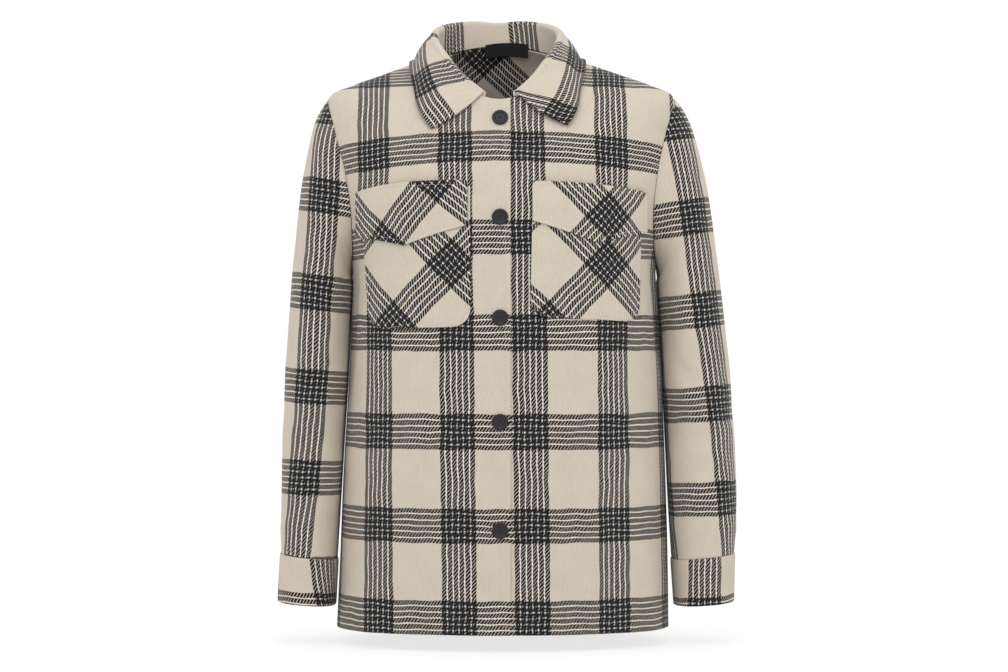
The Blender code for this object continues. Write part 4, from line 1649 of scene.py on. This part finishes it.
@dataclass
class Collar:
    """The turned-down collar, stand and leaf in one."""

    finishes: Finishes
    stitches: StitchRow
    stations: int = 168
    station_pull: float = 0.25
    stand_rows: int = 14
    roll_rows: int = 9
    leaf_rows: int = 26
    end_turn: float = 13.0
    roll_radius: float = 0.0038
    roll_radius_end: float = 0.0022
    leaf_bulge: float = 0.0030
    leaf_space: float = 0.0008
    tip_drop: float = 0.0040
    tip_from: float = 0.6
    roll_from: float = 0.8
    shift: float = -0.0024
    shift_fade: float = 0.3
    cloth: float = 0.0026
    body_cloth: float = 0.0018
    leaf_band: float = 0.0125
    back_band: float = 0.0335
    right_shift: float = -0.0541
    right_from: float = 0.10
    left_shift: float = 0.0450
    left_from: float = 0.09
    shift_over: float = 0.04
    follow: float = 0.25
    groove: float = 0.0007
    groove_reach: float = 0.0016
    groove_inset: float = 0.0055
    front_sag: float = 0.0055
    sag_from: float = 0.85
    edge: float = 0.0010
    body_from: float = 0.6
    body_rows: int = 80
    body_columns: int = 220

    def lift_clear(self, points: Array, space: float) -> Array:
        """Move points outwards until they stand clear of the body's skin by space.

        Args:
            points: the points to lift.
            space: the least gap.

        Returns:
            The lifted points.
        """
        level, turn = np.meshgrid(np.linspace(self.body_from, 1.0, self.body_rows),
                                  np.linspace(-math.pi, math.pi, self.body_columns), indexing="ij")
        skin = FORM.skin(level, turn, np.where(np.cos(turn) > 0, FORM.upper_rise, 0.0)).reshape(-1, 3)
        facing = FORM.facing(level, turn).reshape(-1, 3)
        tree = KDTree(len(skin))
        for index, point in enumerate(skin):
            tree.insert(point, index)
        tree.balance()
        flat = points.reshape(-1, 3)
        nearest = np.array([tree.find(point)[1] for point in flat])
        height = ((flat - skin[nearest]) * facing[nearest]).sum(axis=-1)
        push = np.maximum(space - height, 0.0)
        return (flat + facing[nearest] * push[:, None]).reshape(points.shape)

    def middle(self) -> Array:
        """Points down the middle of the collar's wall, from the neck seam over the roll to the leaf's edge.

        Returns:
            The points, row by row.
        """
        spread = crowded(self.stations, self.station_pull) * 2 - 1
        lean = self.shift * ease((1 - np.abs(spread)) / self.shift_fade)
        middle_x = column(BODY, "shift", np.array([1.0]))[0] + lean
        turn = math.pi + spread * math.radians(180 - self.end_turn)
        neck = np.ones_like(turn)
        top = FORM.skin(neck, -turn, np.full(turn.shape, FORM.upper_rise))
        seam = FORM.skin(neck, -turn, np.full(turn.shape, -self.body_cloth / 2))
        seam[:, 2] = top[:, 2] + FORM.seam
        both = [row._replace(spread=-row.spread, roll_x=-row.roll_x, edge_x=-row.edge_x)
                for row in COLLAR[:0:-1]] + COLLAR
        roll, edge = [np.stack([column(both, name + axis, spread) for axis in "xyz"], axis=-1)
                      for name in ("roll_", "edge_")]
        roll[:, 0] += middle_x
        edge[:, 0] += middle_x
        edge[:, 2] -= self.tip_drop * ease((-spread - self.tip_from) / (1 - self.tip_from))
        narrow = ease((np.abs(spread) - self.roll_from) / (1 - self.roll_from))
        radius = (self.roll_radius + (self.roll_radius_end - self.roll_radius) * narrow)[:, None]
        out = unit((edge - roll) * np.array([1.0, 1.0, 0.0]))
        rows = [seam + (roll - out * radius - seam) * (i / self.stand_rows) for i in range(self.stand_rows)]
        for i in range(self.roll_rows + 1):
            angle = math.pi * (1 - i / self.roll_rows)
            rows.append(roll + out * radius * math.cos(angle) + UP * radius * math.sin(angle))
        start = rows[-1]
        rise = unit(np.cross(np.gradient(edge, axis=0), edge - start))
        rise = rise * np.sign((rise * out).sum(axis=-1, keepdims=True))
        sag = self.front_sag * ease((np.abs(spread) - self.sag_from) / (1 - self.sag_from))
        leaf = []
        for i in range(1, self.leaf_rows + 1):
            share = i / self.leaf_rows
            arch = math.sin(math.pi * share)
            row = start + (edge - start) * share + rise * (self.leaf_bulge * arch)
            leaf.append(row - UP * (sag * arch)[:, None])
        lifted = self.lift_clear(np.array(leaf), self.cloth / 2 + self.leaf_space)
        return np.concatenate([np.array(rows), lifted])

    def make(self) -> bpy.types.Object:
        """Build the collar.

        Returns:
            The object.
        """
        middle = self.middle()
        facing = unit(np.cross(np.gradient(middle, axis=1), np.gradient(middle, axis=0)))
        facing[0, :, 2] = 0
        facing = unit(facing)
        own = run_along(middle, 1)
        own = own - own[:, own.shape[1] // 2][:, None]
        roll = self.stand_rows + self.roll_rows // 2
        u = own + (own[roll] - own) * self.follow
        band = (self.back_band + self.right_shift * ease((-u - self.right_from) / self.shift_over)
                + self.left_shift * ease((u - self.left_from) / self.shift_over))
        v = run_along(middle, 0)
        grain = np.stack([u - band, v[-1] - v - self.leaf_band], axis=-1)
        cloth = Cloth("collar", middle, facing, grain, self.cloth, offset=0.0, edge=self.edge)
        cloth.dip({Edge.LAST_ROW: self.groove}, self.groove_reach, self.groove_inset)
        line, out = cloth.line(Edge.LAST_ROW, self.groove_inset, self.groove_inset)
        self.stitches.add(line + out * self.cloth / 2, out)
        return cloth.finish(self.finishes.wool)


class Bias(NamedTuple):
    """Where the yarns of a bias-cut piece cross: a point on the front, and the turn of the warp."""

    x: float
    z: float
    degrees: float


class PocketCut(NamedTuple):
    """A patch pocket, measured round the front from x = 0; tilt lowers its outer end."""

    top: float
    depth: float
    tilt: float
    head_centre: float
    foot_centre: float
    head_width: float
    foot_width: float


class FlapCut(NamedTuple):
    """A five-sided flap, measured round the front; tilt and bend lower its outer end."""

    top: float
    tilt: float
    bend: float
    centre: float
    width: float
    side_length: float
    point: float


POCKETS = {
    Side.RIGHT: PocketCut(-0.1615, 0.164, 0.030, -0.1120, -0.1026, 0.146, 0.128),
    Side.LEFT: PocketCut(-0.1595, 0.156, 0.040, 0.1040, 0.0995, 0.141, 0.139),
}
FLAPS = {
    Side.RIGHT: FlapCut(-0.1571, 0.071, 0.85, -0.1165, 0.149, 0.051, 0.073),
    Side.LEFT: FlapCut(-0.1595, 0.075, 0.50, 0.1070, 0.149, 0.0455, 0.0675),
}
POCKET_BIAS = {Side.RIGHT: Bias(-0.0605, -0.2513, 45.0), Side.LEFT: Bias(0.119, -0.2513, 45.0)}
FLAP_BIAS = {Side.RIGHT: Bias(-0.0787, -0.153, 50.0), Side.LEFT: Bias(0.1192, -0.1968, 45.0)}


@dataclass
class ChestPocket:
    """A patch pocket and its five-sided flap, both cut on the bias."""

    side: Side
    finishes: Finishes
    stitches: StitchRow
    drop: float = 0.003
    corner: float = 0.020
    space: float = 0.0009
    cloth: float = 0.0016
    flap_space: float = 0.0034
    flap_cloth: float = 0.0020
    level: float = 0.58
    columns: int = 72
    rows: int = 80
    flap_rows: int = 34
    pull: float = 0.4
    edge: float = 0.0006
    flap_edge: float = 0.0008
    groove: float = 0.0005
    groove_reach: float = 0.0014
    groove_inset: float = 0.0052

    def patch(self, name: str, around: Array, z: Array, space: float, cloth: float, bias: Bias,
              edge: float) -> Cloth:
        """Cloth lying on the front.

        Args:
            name: name of the CAD node.
            around: distance of each point round the front from x = 0.
            z: height of each point.
            space: gap under the cloth.
            cloth: thickness.
            bias: where its yarns cross, and their turn.
            edge: radius of the soft edge.

        Returns:
            The cloth.
        """
        xs, run = FORM.front_run(self.level)
        x = np.interp(around, run, xs)
        level, turn = FORM.find_front(x, z)
        rise = FORM.front_rise(x, self.side is Side.RIGHT)
        points = FORM.skin(level, turn, rise + space + cloth)
        u = around - np.interp(bias.x, xs, run)
        grain = turned(np.stack([u, z - bias.z], axis=-1), bias.degrees)
        return Cloth(name, points, FORM.facing(level, turn), grain, cloth, edge=edge)

    def sew(self, cloth: Cloth, edges: Sequence[Edge]) -> bpy.types.Object:
        """Build a patch with a groove and a row of stitches inside some of its edges.

        Args:
            cloth: the patch.
            edges: the edges to stitch.

        Returns:
            The object.
        """
        cloth.dip({edge: self.groove for edge in edges}, self.groove_reach, self.groove_inset)
        for edge in edges:
            self.stitches.add(*cloth.line(edge, self.groove_inset, self.groove_inset))
        return cloth.finish(self.finishes.wool)

    def pocket(self) -> bpy.types.Object:
        """Build the patch pocket, with rounded lower corners.

        Returns:
            The object.
        """
        cut = POCKETS[self.side]
        down = (self.drop + (cut.depth - self.drop) * crowded(self.rows, self.pull))[:, None]
        part = down / cut.depth
        half = (cut.head_width + (cut.foot_width - cut.head_width) * part) / 2
        into = np.clip(down - (cut.depth - self.corner), 0, self.corner)
        half = half - self.corner + np.sqrt(self.corner ** 2 - into ** 2)
        across = half * (crowded(self.columns, self.pull) * 2 - 1)
        centre = cut.head_centre + (cut.foot_centre - cut.head_centre) * part
        z = cut.top - down - cut.tilt * self.side.sign * across
        cloth = self.patch("pocket_" + self.side.value, centre + across, z, self.space, self.cloth,
                           POCKET_BIAS[self.side], self.edge)
        edges = (Edge.FIRST_COLUMN, Edge.LAST_COLUMN, Edge.LAST_ROW)
        return self.sew(cloth, edges)

    def flap(self) -> bpy.types.Object:
        """Build the flap, its lower edge drawn down to a point.

        Returns:
            The object.
        """
        cut = FLAPS[self.side]
        span = crowded(self.columns, self.pull) * 2 - 1
        across = span * cut.width / 2
        length = cut.side_length + (cut.point - cut.side_length) * (1 - np.abs(span))
        down = crowded(self.flap_rows, self.pull)[:, None] * length
        z = cut.top - down - cut.tilt * self.side.sign * across - cut.bend * across ** 2
        around = np.repeat((cut.centre + across)[None, :], self.flap_rows + 1, axis=0)
        cloth = self.patch("flap_" + self.side.value, around, z, self.flap_space, self.flap_cloth,
                           FLAP_BIAS[self.side], self.flap_edge)
        return self.sew(cloth, tuple(Edge))


BUTTON = [
    Turning(0.0000, 0.0010),
    Turning(0.0008, 0.0011),
    Turning(0.0012, 0.0020),
    Turning(0.0024, 0.0021),
    Turning(0.0028, 0.0018),
    Turning(0.0032, 0.0021),
    Turning(0.0046, 0.0022),
    Turning(0.0050, 0.0019),
    Turning(0.0055, 0.0022),
    Turning(0.0062, 0.0024),
    Turning(0.0068, 0.0030),
    Turning(0.0076, 0.0032),
    Turning(0.0085, 0.0031),
    Turning(0.0092, 0.0025),
    Turning(0.0095, 0.0017),
    Turning(0.0093, 0.0008),
    Turning(0.0083, 0.0000),
    Turning(0.0000, 0.0000),
]


@dataclass
class Buttons:
    """Turned black buttons with a raised rim, rings and a sunk middle."""

    finishes: Finishes
    line: float = -0.0045
    heights: tuple[float, ...] = (-0.082, -0.198, -0.314, -0.434, -0.559)
    space: float = 0.0004
    segments: int = 48

    def make(self) -> list[bpy.types.Object]:
        """Build every button on the upper front.

        Returns:
            The objects, top one first.
        """
        made = []
        for number, height in enumerate(self.heights, start=1):
            build = bmesh.new()
            chain = [build.verts.new((row.radius, 0.0, row.height)) for row in BUTTON]
            edges = [build.edges.new(pair) for pair in zip(chain, chain[1:])]
            bmesh.ops.spin(build, geom=chain + edges, cent=(0, 0, 0), axis=(0, 0, 1), dvec=(0, 0, 0),
                           angle=math.tau, steps=self.segments, use_merge=True)
            bmesh.ops.remove_doubles(build, verts=build.verts, dist=WELD)
            bmesh.ops.recalc_face_normals(build, faces=build.faces)
            level, turn = FORM.find_front(np.array(self.line), np.array(height))
            spot = FORM.skin(level, turn, np.array(FORM.upper_rise + self.space))
            facing = Vector(FORM.facing(level, turn))
            place = Matrix.Translation(Vector(spot)) @ facing.to_track_quat("Z", "Y").to_matrix().to_4x4()
            bmesh.ops.transform(build, matrix=place, verts=build.verts)
            piece = finish_mesh(build, f"button_{number}_turned", self.finishes.resin)
            seat(piece, f"button_{number}")
            made.append(piece)
        return made


@dataclass
class NeckLabel:
    """The bare woven label inside the back neck."""

    finishes: Finishes
    width: float = 0.056
    height: float = 0.017
    top: float = 0.0240
    thickness: float = 0.0008
    space: float = 0.0005
    centre: float = 0.0090
    columns: int = 40
    rows: int = 12
    cloth: float = 0.0018
    collar_cloth: float = 0.0026
    bow: float = 0.0030
    edge: float = 0.0002

    def make(self) -> bpy.types.Object:
        """Build the label.

        Returns:
            The object.
        """
        middle = math.pi - self.centre / BODY[-1].back
        half = self.width / 2 / BODY[-1].half_width
        turn = np.linspace(middle - half, middle + half, self.columns + 1)
        seam = FORM.skin(np.ones_like(turn), turn)
        inward = unit(np.stack([-np.sin(turn), np.cos(turn), np.zeros_like(turn)], axis=-1))
        front = seam + inward * (self.cloth / 2 + self.collar_cloth / 2 + self.space + self.thickness)
        share = np.linspace(0, 1, self.rows + 1)
        points = np.repeat(front[None], share.size, axis=0)
        sides = np.linspace(-1, 1, self.columns + 1) ** 2
        points[..., 2] = self.top - self.height * (1 - share[:, None]) - self.bow * sides
        facing = np.repeat(inward[None], share.size, axis=0)
        grain = np.stack([run_along(points, 1), run_along(points, 0)], axis=-1)
        cloth = Cloth("label", points, facing, grain, self.thickness, edge=self.edge)
        return cloth.finish(self.finishes.tape)


class Lamp(NamedTuple):
    """A soft square light, aimed at a point."""

    name: str
    place: tuple[float, float, float]
    target: tuple[float, float, float]
    size: float
    power: float


LAMPS = [
    Lamp("key", (-1.6, -2.6, 1.6), (0, 0, -0.3), 1.6, 12.0),
    Lamp("fill", (2.2, -2.4, 0.6), (0, 0, -0.35), 1.8, 8.5),
    Lamp("top", (0.0, 0.6, 2.4), (0, 0, -0.3), 2.0, 4.0),
    Lamp("neck", (0.0, -1.0, 0.9), (0, 0.05, 0), 0.5, 4.0),
]


@dataclass
class Studio:
    """Plain pale floor and backdrop, soft lights and the camera."""

    floor_z: float = -0.7000
    width: float = 12.0
    length: float = 14.0
    front: float = -5.0
    flat_to: float = 3.0
    bend: float = 2.5
    strips: int = 60
    camera_y: float = -3.2
    camera_z: float = -0.335
    sensor: float = 36.0
    pixel: float = 0.0012
    frame_width: int = 1008
    air: float = 1.0

    def floor(self) -> bpy.types.Object:
        """Floor that sweeps up into a backdrop.

        Returns:
            The object.
        """
        build = bmesh.new()
        bmesh.ops.create_grid(build, x_segments=2, y_segments=self.strips, size=0.5)
        quarter = self.bend * math.pi / 2
        for vert in build.verts:
            way = (vert.co.y + 0.5) * self.length + self.front
            turn = min(max(way - self.flat_to, 0.0), quarter) / self.bend
            wall = max(way - self.flat_to - quarter, 0.0)
            y = min(way, self.flat_to) + self.bend * math.sin(turn)
            z = self.floor_z + self.bend * (1 - math.cos(turn)) + wall
            vert.co = (vert.co.x * self.width, y, z)
        piece = finish_mesh(build, "studio_floor", StudioPaper().material("studio_paper"))
        return piece

    def light(self, lamp: Lamp) -> None:
        """Hang one lamp.

        Args:
            lamp: the lamp.
        """
        data = bpy.data.lights.new(lamp.name, "AREA")
        data.size = lamp.size
        data.energy = lamp.power
        hung = bpy.data.objects.new(lamp.name, data)
        hung.location = lamp.place
        hung.rotation_euler = (Vector(lamp.target) - Vector(lamp.place)).to_track_quat("-Z", "Y").to_euler()
        bpy.context.scene.collection.objects.link(hung)

    def make(self) -> None:
        """Build the studio."""
        self.floor()
        scene = bpy.context.scene
        world = bpy.data.worlds.new("studio_air")
        world.use_nodes = True
        background = world.node_tree.nodes["Background"]
        background.inputs["Color"].default_value = (1.0, 1.0, 1.0, 1.0)
        background.inputs["Strength"].default_value = self.air
        scene.world = world
        for lamp in LAMPS:
            self.light(lamp)
        data = bpy.data.cameras.new("studio_camera")
        data.sensor_width = self.sensor
        data.lens = self.sensor * -self.camera_y / (self.frame_width * self.pixel)
        camera = bpy.data.objects.new("studio_camera", data)
        camera.location = (0.0, self.camera_y, self.camera_z)
        camera.rotation_euler = (math.pi / 2, 0.0, 0.0)
        scene.collection.objects.link(camera)
        scene.camera = camera
        scene.view_settings.view_transform = "Standard"


def report(pieces: Sequence[bpy.types.Object]) -> None:
    """Log what was made.

    Args:
        pieces: the finished objects.
    """
    for piece in pieces:
        LOG.info("%s: %d faces before its modifiers", piece.name, len(piece.data.polygons))


def main() -> None:
    """Build the shacket's looks and its studio."""
    logging.basicConfig(level=logging.INFO, format="%(name)s: %(message)s")
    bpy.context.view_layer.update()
    finishes = Finishes.make()
    stitches = StitchRow("topstitching")
    panels = BodyPanels(finishes, stitches)
    report([panels.front(side) for side in Side])
    report(panels.back_and_yoke())
    for side in Side:
        report(Sleeve(side, finishes).make())
    report([Collar(finishes, stitches).make()])
    for side in Side:
        chest = ChestPocket(side, finishes, stitches)
        report([chest.pocket(), chest.flap()])
    report([stitches.make(finishes.thread)])
    report(Buttons(finishes).make())
    report([NeckLabel(finishes).make()])
    Studio().make()


if __name__ == "__main__":
    main()
